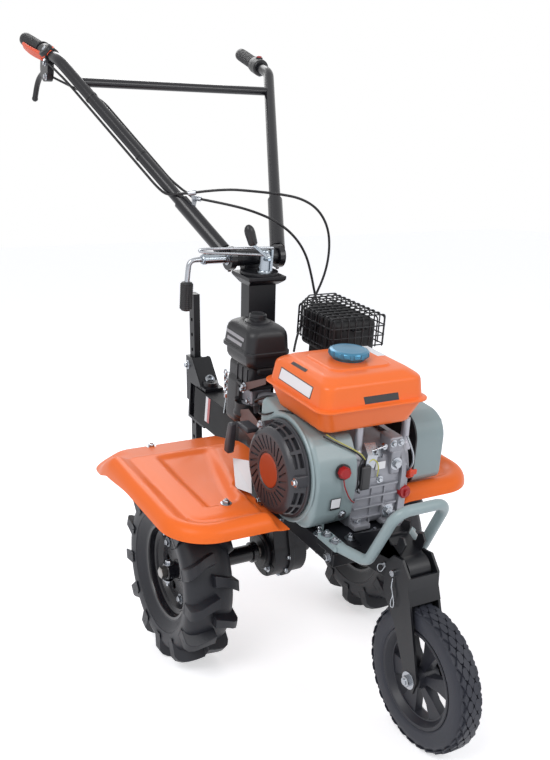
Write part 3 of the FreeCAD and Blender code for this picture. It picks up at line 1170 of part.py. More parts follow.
def make_pieces():
    feet = make_tank_feet()
    pieces = {
        "chain_case": make_chain_case(),
        "deck_frame": make_deck_frame(),
        "engine": joined([make_engine()] + feet),
        "fan_shroud": make_shroud(),
        "recoil_starter": make_recoil(),
        "recoil_grip": make_recoil_grip(),
        "fuel_tank": make_tank(),
        "fuel_cap": make_fuel_cap(),
        "air_filter": make_air_filter(),
        "carburettor": make_carburettor(),
        "muffler": make_muffler(),
        "muffler_guard": make_guard(),
        "belt_cover": make_belt_cover(),
        "belt_back_plate": make_belt_plate(),
        "bumper": make_bumper(),
        "fork_bracket": make_bracket(),
        "fender_right": make_fender(-1),
        "fender_left": make_fender(1),
        "fender_stays": Part.makeCompound(make_fender_stays()),
        "handle_post": make_post(),
        "hitch_yoke": make_hitch(),
        "drive_shaft": make_drive_shaft(),
        "rim_right": make_rim(-1),
        "rim_left": make_rim(1),
        "drive_tyre_right": make_drive_tyre(-1),
        "drive_tyre_left": make_drive_tyre(1),
        "front_fork": make_fork(),
        "fork_pin": make_fork_pin(),
        "front_axle": make_front_axle(),
        "front_rim": make_front_rim(),
        "front_tyre": make_front_tyre(),
        "handle_head": make_head(),
        "swivel_clamp": make_clamp_spool(),
        "clamp_lever": make_clamp_lever(),
        "height_clamp": make_height_clamp(),
        "handle_arm_right": make_arm(-1),
        "handle_arm_left": make_arm(1),
        "handlebars": make_bars(),
        "grip_right": make_grip(-1),
        "grip_left": make_grip(1),
        "cable_stop": make_cable_stop(),
        "throttle_cable": make_cable(THROTTLE_ROUTE),
        "clutch_cable": make_cable(CLUTCH_ROUTE),
        "bar_cables": make_bar_cables(),
        "bar_holder": make_holder(),
        "depth_bar": make_depth_bar(),
    }
    return pieces


pieces = {name: park(shape) for name, shape in make_pieces().items()}
boxes = [shape.BoundBox for shape in pieces.values()]
middle_x = (min(b.XMin for b in boxes) + max(b.XMax for b in boxes)) / 2
os.makedirs("parts", exist_ok=True)
for name, shape in pieces.items():
    shape.translate(V(-middle_x, 0, 0))
    shape.exportStep("parts/" + name + ".step")
    print(name, len(shape.Solids), shape.isValid(), round(shape.Volume / 1000), "cm3")
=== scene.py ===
"""Rotary tiller with a small petrol engine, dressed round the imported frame.

Lengths are metres. Pieces are modelled on the level machine, as on the bench, with x forward from
the drive shaft, y to the walker's left and z up from the ground. park() then tips each finished
piece forward with the frame, which stands on its transport wheel.
"""
import json
import math
import random

import bpy
from mathutils import Matrix, Vector
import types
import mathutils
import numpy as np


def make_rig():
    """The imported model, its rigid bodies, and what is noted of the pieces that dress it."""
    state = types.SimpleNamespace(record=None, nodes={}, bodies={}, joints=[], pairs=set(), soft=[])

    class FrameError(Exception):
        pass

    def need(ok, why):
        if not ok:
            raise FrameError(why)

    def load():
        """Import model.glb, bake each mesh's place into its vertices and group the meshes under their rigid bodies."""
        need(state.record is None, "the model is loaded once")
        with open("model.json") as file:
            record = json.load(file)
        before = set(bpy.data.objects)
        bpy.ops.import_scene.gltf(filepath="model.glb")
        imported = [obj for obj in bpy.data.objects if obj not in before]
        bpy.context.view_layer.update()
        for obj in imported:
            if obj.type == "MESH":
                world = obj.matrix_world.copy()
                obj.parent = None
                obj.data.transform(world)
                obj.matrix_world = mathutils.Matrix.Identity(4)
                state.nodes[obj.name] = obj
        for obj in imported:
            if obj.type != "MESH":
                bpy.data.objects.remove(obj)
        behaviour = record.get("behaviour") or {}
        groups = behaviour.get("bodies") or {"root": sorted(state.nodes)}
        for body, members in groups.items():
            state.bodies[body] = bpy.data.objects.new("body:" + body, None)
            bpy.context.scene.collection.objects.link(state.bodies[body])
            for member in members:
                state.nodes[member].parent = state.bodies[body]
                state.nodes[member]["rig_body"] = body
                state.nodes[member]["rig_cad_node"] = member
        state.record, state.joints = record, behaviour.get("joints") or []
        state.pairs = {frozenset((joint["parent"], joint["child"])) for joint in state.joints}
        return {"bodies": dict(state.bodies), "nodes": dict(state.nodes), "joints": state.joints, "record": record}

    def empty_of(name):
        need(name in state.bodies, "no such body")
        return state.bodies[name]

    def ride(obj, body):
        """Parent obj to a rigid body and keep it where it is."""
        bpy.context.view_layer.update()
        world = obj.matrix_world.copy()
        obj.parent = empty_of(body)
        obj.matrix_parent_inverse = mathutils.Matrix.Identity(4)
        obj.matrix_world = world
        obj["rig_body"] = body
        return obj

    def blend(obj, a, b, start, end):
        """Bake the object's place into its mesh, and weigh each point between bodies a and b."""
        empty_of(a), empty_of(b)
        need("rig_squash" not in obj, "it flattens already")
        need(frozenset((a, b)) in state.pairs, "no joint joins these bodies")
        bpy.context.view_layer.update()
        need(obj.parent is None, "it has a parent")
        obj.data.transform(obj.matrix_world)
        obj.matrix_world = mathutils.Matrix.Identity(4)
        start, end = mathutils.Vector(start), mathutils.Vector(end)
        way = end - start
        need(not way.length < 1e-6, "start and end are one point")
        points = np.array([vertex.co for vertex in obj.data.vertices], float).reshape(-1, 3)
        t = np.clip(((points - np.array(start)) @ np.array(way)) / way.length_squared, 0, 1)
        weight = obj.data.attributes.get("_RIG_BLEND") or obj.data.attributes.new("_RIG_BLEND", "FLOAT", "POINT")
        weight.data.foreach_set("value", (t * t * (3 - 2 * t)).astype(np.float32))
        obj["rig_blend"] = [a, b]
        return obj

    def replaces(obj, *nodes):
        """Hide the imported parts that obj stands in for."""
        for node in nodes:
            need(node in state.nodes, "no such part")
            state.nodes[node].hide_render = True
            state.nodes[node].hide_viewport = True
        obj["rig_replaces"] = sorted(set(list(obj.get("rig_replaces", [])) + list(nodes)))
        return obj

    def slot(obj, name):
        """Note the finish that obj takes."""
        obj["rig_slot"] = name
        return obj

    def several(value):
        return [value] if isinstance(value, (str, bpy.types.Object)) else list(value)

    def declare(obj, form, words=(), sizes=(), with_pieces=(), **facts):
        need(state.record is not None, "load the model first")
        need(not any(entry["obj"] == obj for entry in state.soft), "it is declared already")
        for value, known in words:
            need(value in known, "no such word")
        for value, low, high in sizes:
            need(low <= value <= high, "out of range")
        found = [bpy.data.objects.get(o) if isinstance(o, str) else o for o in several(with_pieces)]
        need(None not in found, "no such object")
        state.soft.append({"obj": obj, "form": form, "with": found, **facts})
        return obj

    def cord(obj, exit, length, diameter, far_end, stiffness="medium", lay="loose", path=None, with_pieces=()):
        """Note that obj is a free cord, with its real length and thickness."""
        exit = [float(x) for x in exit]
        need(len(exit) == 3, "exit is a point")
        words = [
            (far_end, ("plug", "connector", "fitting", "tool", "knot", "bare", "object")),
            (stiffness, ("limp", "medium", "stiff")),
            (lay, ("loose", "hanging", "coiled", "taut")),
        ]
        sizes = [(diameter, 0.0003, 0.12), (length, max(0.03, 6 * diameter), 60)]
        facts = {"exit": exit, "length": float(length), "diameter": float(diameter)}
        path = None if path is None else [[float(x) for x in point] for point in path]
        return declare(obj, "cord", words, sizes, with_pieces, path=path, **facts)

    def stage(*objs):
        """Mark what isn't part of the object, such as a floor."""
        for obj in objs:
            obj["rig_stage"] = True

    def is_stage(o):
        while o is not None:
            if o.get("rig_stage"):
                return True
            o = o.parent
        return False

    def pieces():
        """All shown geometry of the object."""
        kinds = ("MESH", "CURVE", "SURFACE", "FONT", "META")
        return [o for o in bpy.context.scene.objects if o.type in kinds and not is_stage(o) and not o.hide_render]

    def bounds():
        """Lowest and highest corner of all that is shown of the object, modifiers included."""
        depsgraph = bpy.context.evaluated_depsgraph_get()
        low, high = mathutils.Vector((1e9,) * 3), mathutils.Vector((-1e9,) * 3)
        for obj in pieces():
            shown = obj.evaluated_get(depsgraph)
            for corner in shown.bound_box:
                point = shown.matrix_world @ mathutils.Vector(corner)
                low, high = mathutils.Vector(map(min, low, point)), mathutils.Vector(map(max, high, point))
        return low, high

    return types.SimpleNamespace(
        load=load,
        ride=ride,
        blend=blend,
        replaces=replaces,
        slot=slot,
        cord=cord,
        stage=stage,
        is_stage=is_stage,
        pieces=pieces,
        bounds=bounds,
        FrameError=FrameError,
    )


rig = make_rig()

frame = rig.load()
cad_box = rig.bounds()

# === View, floor and studio light ===
# The machine stands on a plain white studio floor, seen from its front right at chest height.
# Two broad soft boxes and a pale surround light it, with no strong shadow.
camera_data = bpy.data.cameras.new("camera")
camera_data.lens = 43.7
camera_data.sensor_width = 36.0
camera = bpy.data.objects.new("camera", camera_data)
camera.location = (1.813, -1.025, 1.058)
camera_aim = Vector((0.049, -0.009, 0.604))
camera.rotation_euler = (camera_aim - camera.location).to_track_quat("-Z", "Y").to_euler()
bpy.context.scene.collection.objects.link(camera)
bpy.context.scene.camera = camera
bpy.context.scene.view_settings.view_transform = "Standard"


def fed(tree, kind, feeds=None, **settings):
    """A new node with these settings. feeds gives each input an output to link, or a plain value."""
    node = tree.nodes.new(kind)
    for setting, value in settings.items():
        setattr(node, setting, value)
    for socket, source in (feeds or {}).items():
        if isinstance(source, bpy.types.NodeSocket):
            tree.links.new(source, node.inputs[socket])
        else:
            node.inputs[socket].default_value = source
    return node


def background_only(tree, lit, seen):
    """Mixes two shaders: lit for the light on things, seen for the camera, gloss and glass."""
    ray = tree.nodes.new("ShaderNodeLightPath").outputs
    either = fed(tree, "ShaderNodeMath", {0: ray["Is Camera Ray"], 1: ray["Is Glossy Ray"]},
        operation="MAXIMUM")
    any_of = fed(tree, "ShaderNodeMath", {0: either.outputs[0], 1: ray["Is Transmission Ray"]},
        operation="MAXIMUM")
    return fed(tree, "ShaderNodeMixShader", {0: any_of.outputs[0], 1: lit.outputs[0],
        2: seen.outputs[0]}).outputs[0]


world = bpy.data.worlds.new("studio")
bpy.context.scene.world = world
world.use_nodes = True
sky = world.node_tree
surround = sky.nodes["Background"]
surround.inputs["Color"].default_value = (0.93, 0.95, 1.0, 1)
surround.inputs["Strength"].default_value = 0.55
seen_white = fed(sky, "ShaderNodeBackground", {"Color": (1, 1, 1, 1)})
sky.links.new(background_only(sky, surround, seen_white), sky.nodes["World Output"].inputs["Surface"])

bpy.ops.object.select_all(action="DESELECT")
bpy.ops.mesh.primitive_plane_add(size=24)
floor = bpy.context.object
floor.name = "floor"
floor_material = bpy.data.materials.new("white_floor")
floor_material.use_nodes = True
ground = floor_material.node_tree
floor_shader = ground.nodes["Principled BSDF"]
floor_shader.inputs["Base Color"].default_value = (0.86, 0.86, 0.88, 1)
floor_shader.inputs["Roughness"].default_value = 0.9
floor_shader.inputs["Specular IOR Level"].default_value = 0.1
floor_lift = fed(ground, "ShaderNodeEmission", {"Color": (1, 1, 1, 1), "Strength": 0.52})
floor_seen = fed(ground, "ShaderNodeAddShader", {0: floor_shader.outputs[0], 1: floor_lift.outputs[0]})
ground.links.new(background_only(ground, floor_shader, floor_seen),
    ground.nodes["Material Output"].inputs["Surface"])
floor.data.materials.append(floor_material)
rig.stage(floor)

for lamp_name, lamp_place, lamp_size, lamp_power in (("key_box", (1.6, -2.4, 3.0), 1.8, 62.0),
        ("front_box", (3.2, 1.4, 2.2), 1.6, 34.0), ("rear_box", (-2.6, 0.6, 2.6), 1.6, 30.0)):
    lamp_data = bpy.data.lights.new(lamp_name, "AREA")
    lamp_data.shape = "SQUARE"
    lamp_data.size = lamp_size
    lamp_data.energy = lamp_power
    lamp = bpy.data.objects.new(lamp_name, lamp_data)
    lamp.location = lamp_place
    lamp.rotation_euler = (camera_aim - lamp.location).to_track_quat("-Z", "Y").to_euler()
    bpy.context.scene.collection.objects.link(lamp)

# === Control cables ===
# Two black sheathed steel cables leave the ferrules on the right handle tube, arch over behind the
# head and drop on the left to the carburettor and the belt tensioner. Each is clipped at its ends.
joint_at = {joint["name"]: joint for joint in frame["record"]["behaviour"]["joints"]}
shaft_place = Vector(joint_at["drive_wheels_spin"]["pos_m"])
post_direction = Vector(joint_at["handle_swivel"]["axis"])
PARKED = (Matrix.Translation(shaft_place)
    @ Vector((0, 0, 1)).rotation_difference(post_direction).to_matrix().to_4x4()
    @ Matrix.Translation((0, 0, -shaft_place.z)))


def make_grain_group():
    """Surface grain: cloudy colour and gloss, and a fine bump, from Object coordinates."""
    group = bpy.data.node_groups.new("surface_grain", "ShaderNodeTree")
    for label, kind, value in (("Color", "NodeSocketColor", (0.5, 0.5, 0.5, 1)),
            ("Tone Spread", "NodeSocketFloat", 0.1), ("Tone Scale", "NodeSocketFloat", 12.0),
            ("Roughness", "NodeSocketFloat", 0.4), ("Roughness Spread", "NodeSocketFloat", 0.1),
            ("Grain Scale", "NodeSocketFloat", 400.0), ("Grain Depth", "NodeSocketFloat", 0.1)):
        socket = group.interface.new_socket(label, in_out="INPUT", socket_type=kind)
        socket.default_value = value
    group.interface.new_socket("Color", in_out="OUTPUT", socket_type="NodeSocketColor")
    group.interface.new_socket("Roughness", in_out="OUTPUT", socket_type="NodeSocketFloat")
    group.interface.new_socket("Normal", in_out="OUTPUT", socket_type="NodeSocketVector")
    given = group.nodes.new("NodeGroupInput").outputs
    place = group.nodes.new("ShaderNodeTexCoord").outputs["Object"]
    cloud = fed(group, "ShaderNodeTexNoise", {"Detail": 5.0, "Vector": place, "Scale": given["Tone Scale"]})
    centred = fed(group, "ShaderNodeMath", {0: cloud.outputs["Fac"], 1: 0.5}, operation="SUBTRACT").outputs[0]
    tone = fed(group, "ShaderNodeMath", {0: centred, 1: given["Tone Spread"], 2: 1.0},
        operation="MULTIPLY_ADD")
    shade = fed(group, "ShaderNodeVectorMath", {0: given["Color"], "Scale": tone.outputs[0]},
        operation="SCALE")
    gloss = fed(group, "ShaderNodeMath", {0: centred, 1: given["Roughness Spread"], 2: given["Roughness"]},
        operation="MULTIPLY_ADD", use_clamp=True)
    grain = fed(group, "ShaderNodeTexNoise", {"Detail": 3.0, "Vector": place, "Scale": given["Grain Scale"]})
    bump = fed(group, "ShaderNodeBump", {"Distance": 0.001, "Height": grain.outputs["Fac"],
        "Strength": given["Grain Depth"]})
    fed(group, "NodeGroupOutput", {"Color": shade.outputs[0], "Roughness": gloss.outputs[0],
        "Normal": bump.outputs["Normal"]})
    return group


surface_grain = make_grain_group()


slot_of = {}


def finish_of(name, slot_name, color, roughness, metallic=0.0, coat=0.0, specular=0.5, tone=(0.1, 12.0),
        gloss_spread=0.1, grain=(400.0, 0.1)):
    """A material for one of the record's slots: a Principled shader fed by the surface grain group. tone
    is the spread and scale of its cloudy colour, grain the scale and depth of its fine bump."""
    material = bpy.data.materials.new(name)
    material.use_nodes = True
    slot_of[material.name] = slot_name
    tree = material.node_tree
    shader = tree.nodes["Principled BSDF"]
    for label, value in (("Metallic", metallic), ("Coat Weight", coat), ("Coat Roughness", 0.12),
            ("Specular IOR Level", specular)):
        shader.inputs[label].default_value = value
    surface = fed(tree, "ShaderNodeGroup", {"Color": (*color, 1), "Tone Spread": tone[0],
        "Tone Scale": tone[1], "Roughness": roughness, "Roughness Spread": gloss_spread,
        "Grain Scale": grain[0], "Grain Depth": grain[1]}, node_tree=surface_grain)
    for label, socket in (("Color", "Base Color"), ("Roughness", "Roughness"), ("Normal", "Normal")):
        tree.links.new(surface.outputs[label], shader.inputs[socket])
    return material


cable_black = finish_of("cable_black", "black_rubber", (0.01, 0.01, 0.012), 0.38, specular=0.35,
    grain=(900.0, 0.05))
CABLE_DIAMETER = 0.006


def level(x, y, z):
    """A point of the level machine, where the parked machine has it."""
    return PARKED @ Vector((x, y, z))


def drawn(name, routes, radius=0.0, resolution=10, sides=4, kind="NURBS"):
    """A curve along each route, a list of points and whether they close, as round wire if it has a radius."""
    curve = bpy.data.curves.new(name, "CURVE")
    curve.dimensions = "3D"
    curve.bevel_depth = radius
    curve.bevel_resolution = sides
    curve.use_fill_caps = True
    for points, closed in routes:
        spline = curve.splines.new(kind)
        spline.points.add(len(points) - 1)
        for point, place in zip(spline.points, points):
            point.co = (*place, 1)
        spline.order_u = 3
        spline.use_cyclic_u = closed
        spline.use_endpoint_u = not closed
        spline.resolution_u = resolution
    piece = bpy.data.objects.new(name, curve)
    bpy.context.scene.collection.objects.link(piece)
    return piece


def cable_line(route):
    """The smooth line through a cable's route, as points where the parked machine has them."""
    holder = drawn("route", [([level(*place) for place in route], False)])
    bpy.context.view_layer.update()
    mesh = bpy.data.meshes.new_from_object(holder)
    line = [vertex.co.copy() for vertex in mesh.vertices]
    bpy.data.objects.remove(holder)
    return line


def pick_only(*pieces):
    """Selects these objects and nothing else, the last of them active."""
    bpy.ops.object.select_all(action="DESELECT")
    for piece in pieces:
        piece.select_set(True)
        bpy.context.view_layer.objects.active = piece


def round_wire(name, routes, radius, **shape):
    """A drawn curve as a smooth mesh."""
    pick_only(drawn(name, routes, radius, **shape))
    bpy.ops.object.convert(target="MESH")
    bpy.ops.object.shade_smooth()
    return bpy.context.object


def sheathed(name, line, diameter, material, stiffness, lay, *nodes):
    """A round sheath along a line, declared as a free cord. It stands for the frame's nodes given."""
    piece = round_wire(name, [(line, False)], diameter / 2, kind="POLY")
    piece.name = name
    piece.data.materials.append(material)
    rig.slot(piece, "black_rubber")
    if nodes:
        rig.replaces(piece, *nodes)
    length = sum((after - before).length for before, after in zip(line, line[1:]))
    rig.cord(piece, exit=line[0], length=length, diameter=diameter, far_end="object", stiffness=stiffness,
        lay=lay, path=line)
    return piece


def lay_cable(name, route, share):
    """One cable in two pieces that meet at share of its line: the first bends between the handlebar
    and the head, the second between the head and the chassis."""
    line = cable_line(route)
    middle = round(share * (len(line) - 1))
    for part, stretch, bodies in (("upper", line[:middle + 1], ("handlebar", "handle_head")),
            ("lower", line[middle:], ("handle_head", "chassis"))):
        piece = sheathed(f"{name}_{part}", stretch, CABLE_DIAMETER, cable_black, "stiff", "hanging", name)
        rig.blend(piece, *bodies, start=stretch[0], end=stretch[-1])


lay_cable("throttle_cable", [(-0.3, -0.104, 0.985), (-0.262, -0.052, 0.998), (-0.222, 0.004, 0.998),
    (-0.202, 0.062, 0.994), (-0.196, 0.118, 0.984), (-0.196, 0.166, 0.958), (-0.2, 0.2, 0.914),
    (-0.2, 0.21, 0.86), (-0.202, 0.204, 0.8), (-0.206, 0.182, 0.742), (-0.2, 0.152, 0.694),
    (-0.178, 0.12, 0.656), (-0.14, 0.092, 0.632)], 0.36)
lay_cable("clutch_cable", [(-0.307, -0.087, 0.968), (-0.268, -0.044, 0.963), (-0.23, 0.008, 0.952),
    (-0.208, 0.062, 0.93), (-0.2, 0.108, 0.896), (-0.198, 0.142, 0.852), (-0.196, 0.16, 0.802),
    (-0.19, 0.172, 0.75), (-0.178, 0.186, 0.702), (-0.16, 0.2, 0.656), (-0.136, 0.214, 0.618)], 0.4)


def lay_bar_sheath(name, route):
    """The end of a cable that lies along the handlebar, from its ferrule up to the hand controls."""
    line = cable_line(route)
    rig.ride(sheathed(name, line, CABLE_DIAMETER, cable_black, "stiff", "taut", "bar_cables"), "handlebar")


lay_bar_sheath("throttle_bar_sheath", [(-0.3114, -0.1196, 0.9812), (-0.327, -0.141, 0.978),
    (-0.35, -0.156, 0.972), (-0.387, -0.164, 0.985), (-0.4167, -0.1776, 1.0082), (-0.6204, -0.2707, 1.1672),
    (-0.656, -0.287, 1.195), (-0.692, -0.305, 1.221), (-0.7688, -0.3124, 1.2466)])
lay_bar_sheath("clutch_bar_sheath", [(-0.3204, -0.1018, 0.9698), (-0.336, -0.112, 0.98),
    (-0.36, -0.114, 0.984), (-0.389, -0.13, 1.002), (-0.4173, -0.1424, 1.0237), (-0.5558, -0.2033, 1.1298),
    (-0.603, -0.224, 1.166), (-0.652, -0.261, 1.18), (-0.7732, -0.3033, 1.2107)])


# === Drive tyres ===
# Cleated rubber tyres of the 4.00-8 kind: a round carcass with deep bars that reach from the middle
# of the tread over each shoulder, left and right in turn. They sit on the rims' beads by their own
# grip, and carry the thin rubber whiskers that the mould leaves.
def hand_over(piece, name, body, material, *nodes, slotted=True):
    """Gives a finished piece its name, finish and body. It stands for the frame's nodes given."""
    piece.name = name
    piece.data.name = name
    piece.data.materials.clear()
    piece.data.materials.append(material)
    if slotted:
        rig.slot(piece, slot_of[material.name])
    if nodes:
        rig.replaces(piece, *nodes)
    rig.ride(piece, body)


def park(piece, name, body, material, *nodes, **options):
    """Tips a level-built piece as the machine stands, and hands it over to its body."""
    piece.data.transform(PARKED)
    hand_over(piece, name, body, material, *nodes, **options)


FORWARD, LEFT, RIGHT, UP = (1, 0, 0), (0, 1, 0), (0, -1, 0), (0, 0, 1)
MERGE_DISTANCE = 1e-5


def edit_all(piece):
    """Opens a piece in edit mode with everything selected."""
    pick_only(piece)
    bpy.ops.object.mode_set(mode="EDIT")
    bpy.ops.mesh.select_all(action="SELECT")


def leave_edit():
    """Goes back from edit mode to the object."""
    bpy.ops.object.mode_set(mode="OBJECT")


def face_outwards(piece):
    """Turns every face of a closed piece outwards."""
    edit_all(piece)
    bpy.ops.mesh.normals_make_consistent(inside=False)
    leave_edit()
    return piece


def settle(piece):
    """Puts an object's place, turn and size into its mesh."""
    pick_only(piece)
    bpy.ops.object.transform_apply(location=True, rotation=True, scale=True)
    return piece


def bolt_together(pieces):
    """Joins several objects into the last one."""
    if len(pieces) > 1:
        pick_only(*pieces)
        bpy.ops.object.join()
    return bpy.context.object if len(pieces) > 1 else pieces[0]


def wire_piece(points, faces=()):
    """A new object from faces, or from points joined in a row for spinning."""
    mesh = bpy.data.meshes.new("piece")
    row = [] if faces else [(index, index + 1) for index in range(len(points) - 1)]
    mesh.from_pydata([tuple(point) for point in points], row, faces)
    piece = bpy.data.objects.new("piece", mesh)
    bpy.context.scene.collection.objects.link(piece)
    return piece


def skinned(points, around):
    """A closed skin over rings of points, with this many points to a ring."""
    faces = [tuple(range(around - 1, -1, -1)), tuple(range(len(points) - around, len(points)))]
    for ring in range(0, len(points) - around, around):
        for side in range(around):
            near, far = ring + side, ring + (side + 1) % around
            faces.append((near, far, far + around, near + around))
    return wire_piece(points, faces)


def turned(profile, centre=(0, 0, 0), axis=LEFT, steps=48):
    """A round piece: profile is (along the axis, radius) points, spun about the axis."""
    piece = wire_piece([(radius, 0, along) for along, radius in profile])
    edit_all(piece)
    bpy.ops.mesh.spin(steps=steps, angle=math.tau, center=(0, 0, 0), axis=(0, 0, 1))
    bpy.ops.mesh.select_all(action="SELECT")
    bpy.ops.mesh.remove_doubles(threshold=MERGE_DISTANCE)
    bpy.ops.mesh.normals_make_consistent(inside=False)
    leave_edit()
    piece.rotation_euler = Vector(axis).to_track_quat("Z", "Y").to_euler()
    piece.location = centre
    return settle(piece)


def block(low, high, bevel=0.0, segments=3):
    """A box between two corners, with rounded edges if a bevel is given."""
    bpy.ops.object.select_all(action="DESELECT")
    bpy.ops.mesh.primitive_cube_add(size=1, location=(Vector(low) + Vector(high)) / 2)
    piece = bpy.context.object
    piece.scale = Vector(high) - Vector(low)
    settle(piece)
    return round_edges(piece, bevel, segments) if bevel else piece


def rod(start, end, radius, sides=24, bevel=0.0):
    """A round bar between two points."""
    start, end = Vector(start), Vector(end)
    bpy.ops.object.select_all(action="DESELECT")
    bpy.ops.mesh.primitive_cylinder_add(vertices=sides, radius=radius, depth=(end - start).length,
        location=(start + end) / 2, rotation=(end - start).to_track_quat("Z", "Y").to_euler())
    piece = settle(bpy.context.object)
    return round_edges(piece, bevel, 2) if bevel else piece


def apply_all(piece):
    """Applies the piece's modifiers in their order."""
    pick_only(piece)
    for modifier in list(piece.modifiers):
        bpy.ops.object.modifier_apply(modifier=modifier.name)
    return piece


def round_edges(piece, width, segments=3, angle=30.0):
    """Rounds every edge sharper than angle."""
    bevel = piece.modifiers.new("round", "BEVEL")
    bevel.width = width
    bevel.segments = segments
    bevel.limit_method = "ANGLE"
    bevel.angle_limit = math.radians(angle)
    return apply_all(piece)


def cut_away(piece, *cutters):
    """Cuts other objects out of a piece, and clears them away."""
    for cutter in cutters:
        boolean = piece.modifiers.new("cut", "BOOLEAN")
        boolean.operation = "DIFFERENCE"
        boolean.solver = "EXACT"
        boolean.object = cutter
        apply_all(piece)
        bpy.data.objects.remove(cutter)
    return piece


def smooth(piece, angle=35.0):
    """Smooth shading between faces that meet flatter than angle, with flat faces kept flat."""
    pick_only(piece)
    bpy.ops.object.shade_smooth_by_angle(angle=math.radians(angle))
    weighted = piece.modifiers.new("weighted", "WEIGHTED_NORMAL")
    weighted.keep_sharp = True
    return apply_all(piece)


def assemble(pieces, name, body, material, *nodes, angle=35.0):
    """Joins level-built pieces into one, shades it and parks it."""
    piece = bolt_together(pieces)
    smooth(piece, angle)
    park(piece, name, body, material, *nodes)


def ring_of(model, count, centre=(0, 0, 0), axis=LEFT, first=0.0):
    """Copies of a model round an axis through centre, each with its own mesh. The model is used up."""
    copies = []
    for index in range(count):
        copy = model.copy()
        copy.data = model.data.copy()
        bpy.context.scene.collection.objects.link(copy)
        turn = Matrix.Rotation(first + index * math.tau / count, 4, Vector(axis))
        copy.data.transform(Matrix.Translation(centre) @ turn @ Matrix.Translation(-Vector(centre)))
        copies.append(copy)
    bpy.data.objects.remove(model)
    return copies


AXLE = Vector((0, 0, shaft_place.z))
TREAD_RADIUS = 0.179
LUG_TIP = 0.1995
LUGS_EACH_SIDE = 13
WHISKER_RADIUS = 0.0006
tyre_profile = [(-0.03, 0.103), (-0.035, 0.106), (-0.0365, 0.111), (-0.042, 0.118), (-0.049, 0.129),
    (-0.049, 0.1305), (-0.051, 0.132), (-0.053, 0.142), (-0.0538, 0.152), (-0.0515, 0.16), (-0.045, 0.169),
    (-0.033, 0.1755), (-0.016, 0.1785), (0.0, TREAD_RADIUS)]
tyre_profile += [(-along, radius) for along, radius in reversed(tyre_profile[:-1])]
tyre_rubber = finish_of("tyre_rubber", "tyre_rubber", (0.0125, 0.0135, 0.0185), 0.46, specular=0.38,
    tone=(0.5, 9.0), gloss_spread=0.25, grain=(260.0, 0.25))


def tyre_bar(hand):
    """One tread bar: a tapered block swept in a gentle hook from the middle over the shoulder."""
    stations = ((-0.004, 0.0, 0.012, 0.172, 0.1985), (0.01, 0.003, 0.0105, 0.172, LUG_TIP),
        (0.025, 0.008, 0.01, 0.17, LUG_TIP), (0.039, 0.016, 0.0105, 0.166, 0.1975),
        (0.05, 0.022, 0.012, 0.158, 0.1915), (0.0565, 0.026, 0.013, 0.148, 0.18),
        (0.0555, 0.027, 0.012, 0.14, 0.164))
    points = []
    for across, ahead, half, root, top in stations:
        for around, radius, spread in ((-1, root, 1.45), (-1, top, 1.0), (1, top, 1.0), (1, root, 1.45)):
            turn = (ahead + around * half * spread) / LUG_TIP
            points.append((radius * math.sin(turn), hand * across, radius * math.cos(turn)))
    return round_edges(face_outwards(skinned(points, 4)), 0.0016, 2, 40.0)


def drive_tyre(name, node, middle):
    """One drive tyre, its middle at this y: the carcass, both rows of bars and the whiskers."""
    carcass = turned(tyre_profile, steps=96)
    bars = []
    for hand in (-1, 1):
        bars += ring_of(tyre_bar(hand), LUGS_EACH_SIDE, first=math.pi / LUGS_EACH_SIDE if hand > 0 else 0.0)
    whiskers = []
    draw = random.Random(8)
    for index in range(LUGS_EACH_SIDE):
        for side in (-1, 1):
            angle = (index + (0.5 if side > 0 else 0.0)) * math.tau / LUGS_EACH_SIDE
            for chance, spread, foot, tip, ahead in ((0.75, 0.004, (0.02, side * 0.0555, 0.165),
                    (0.02, side * 0.0555, 0.1785), 0.0), (0.6, 0.003, (0, side * 0.05, 0.137),
                    (0, side * 0.062, 0.139), 0.2)):
                if draw.random() < chance:
                    lean = Vector((draw.uniform(-spread, spread), 0, 0))
                    whisker = rod(foot, Vector(tip) + lean, WHISKER_RADIUS, 6)
                    whisker.data.transform(Matrix.Rotation(angle + ahead, 4, "Y"))
                    whiskers.append(whisker)
    tyre = bolt_together(bars + whiskers + [carcass])
    tyre.data.transform(Matrix.Translation((0, middle, AXLE.z)))
    smooth(tyre, 32.0)
    park(tyre, name, "drive_wheels", tyre_rubber, node)


TRACK_HALF = 0.253
drive_tyre("cleated_tyre_right", "drive_tyre_right", -TRACK_HALF)
drive_tyre("cleated_tyre_left", "drive_tyre_left", TRACK_HALF)

# === Drive rims and shaft ===
# Each rim is two pressed steel dishes bolted together through their flat middles, painted gloss
# black. A welded hub tube slides on the hexagon shaft and is held by a bright cross bolt.
gloss_black = finish_of("gloss_black_paint", "black_paint", (0.007, 0.007, 0.01), 0.26, coat=0.12,
    specular=0.42, tone=(0.3, 12.0), gloss_spread=0.12, grain=(140.0, 0.05))
bright_zinc = finish_of("bright_zinc", "bright_zinc", (0.4, 0.42, 0.45), 0.27, metallic=1.0,
    tone=(0.25, 60.0), gloss_spread=0.2, grain=(300.0, 0.06))


WASHER = 0.0014


def hex_bolt(place, axis, flats, height=0.006, washer=True, stud=0.0):
    """A bright hexagon head with its washer, chamfered corners and, for a nut, a stud end."""
    place, axis = Vector(place), Vector(axis).normalized()
    across = flats / math.sqrt(3)
    pieces = []
    if washer:
        pieces.append(rod(place, place + axis * WASHER, flats * 0.92, 28, 0.0004))
        place = place + axis * WASHER
    head = turned([(0, 0), (0, across), (height * 0.8, across), (height, across * 0.84), (height, 0)], place,
        axis, 6)
    pieces.append(head)
    if stud:
        pieces.append(rod(place + axis * height * 0.9, place + axis * (height + stud), flats * 0.28, 16,
            0.0006))
    return bolt_together(pieces)


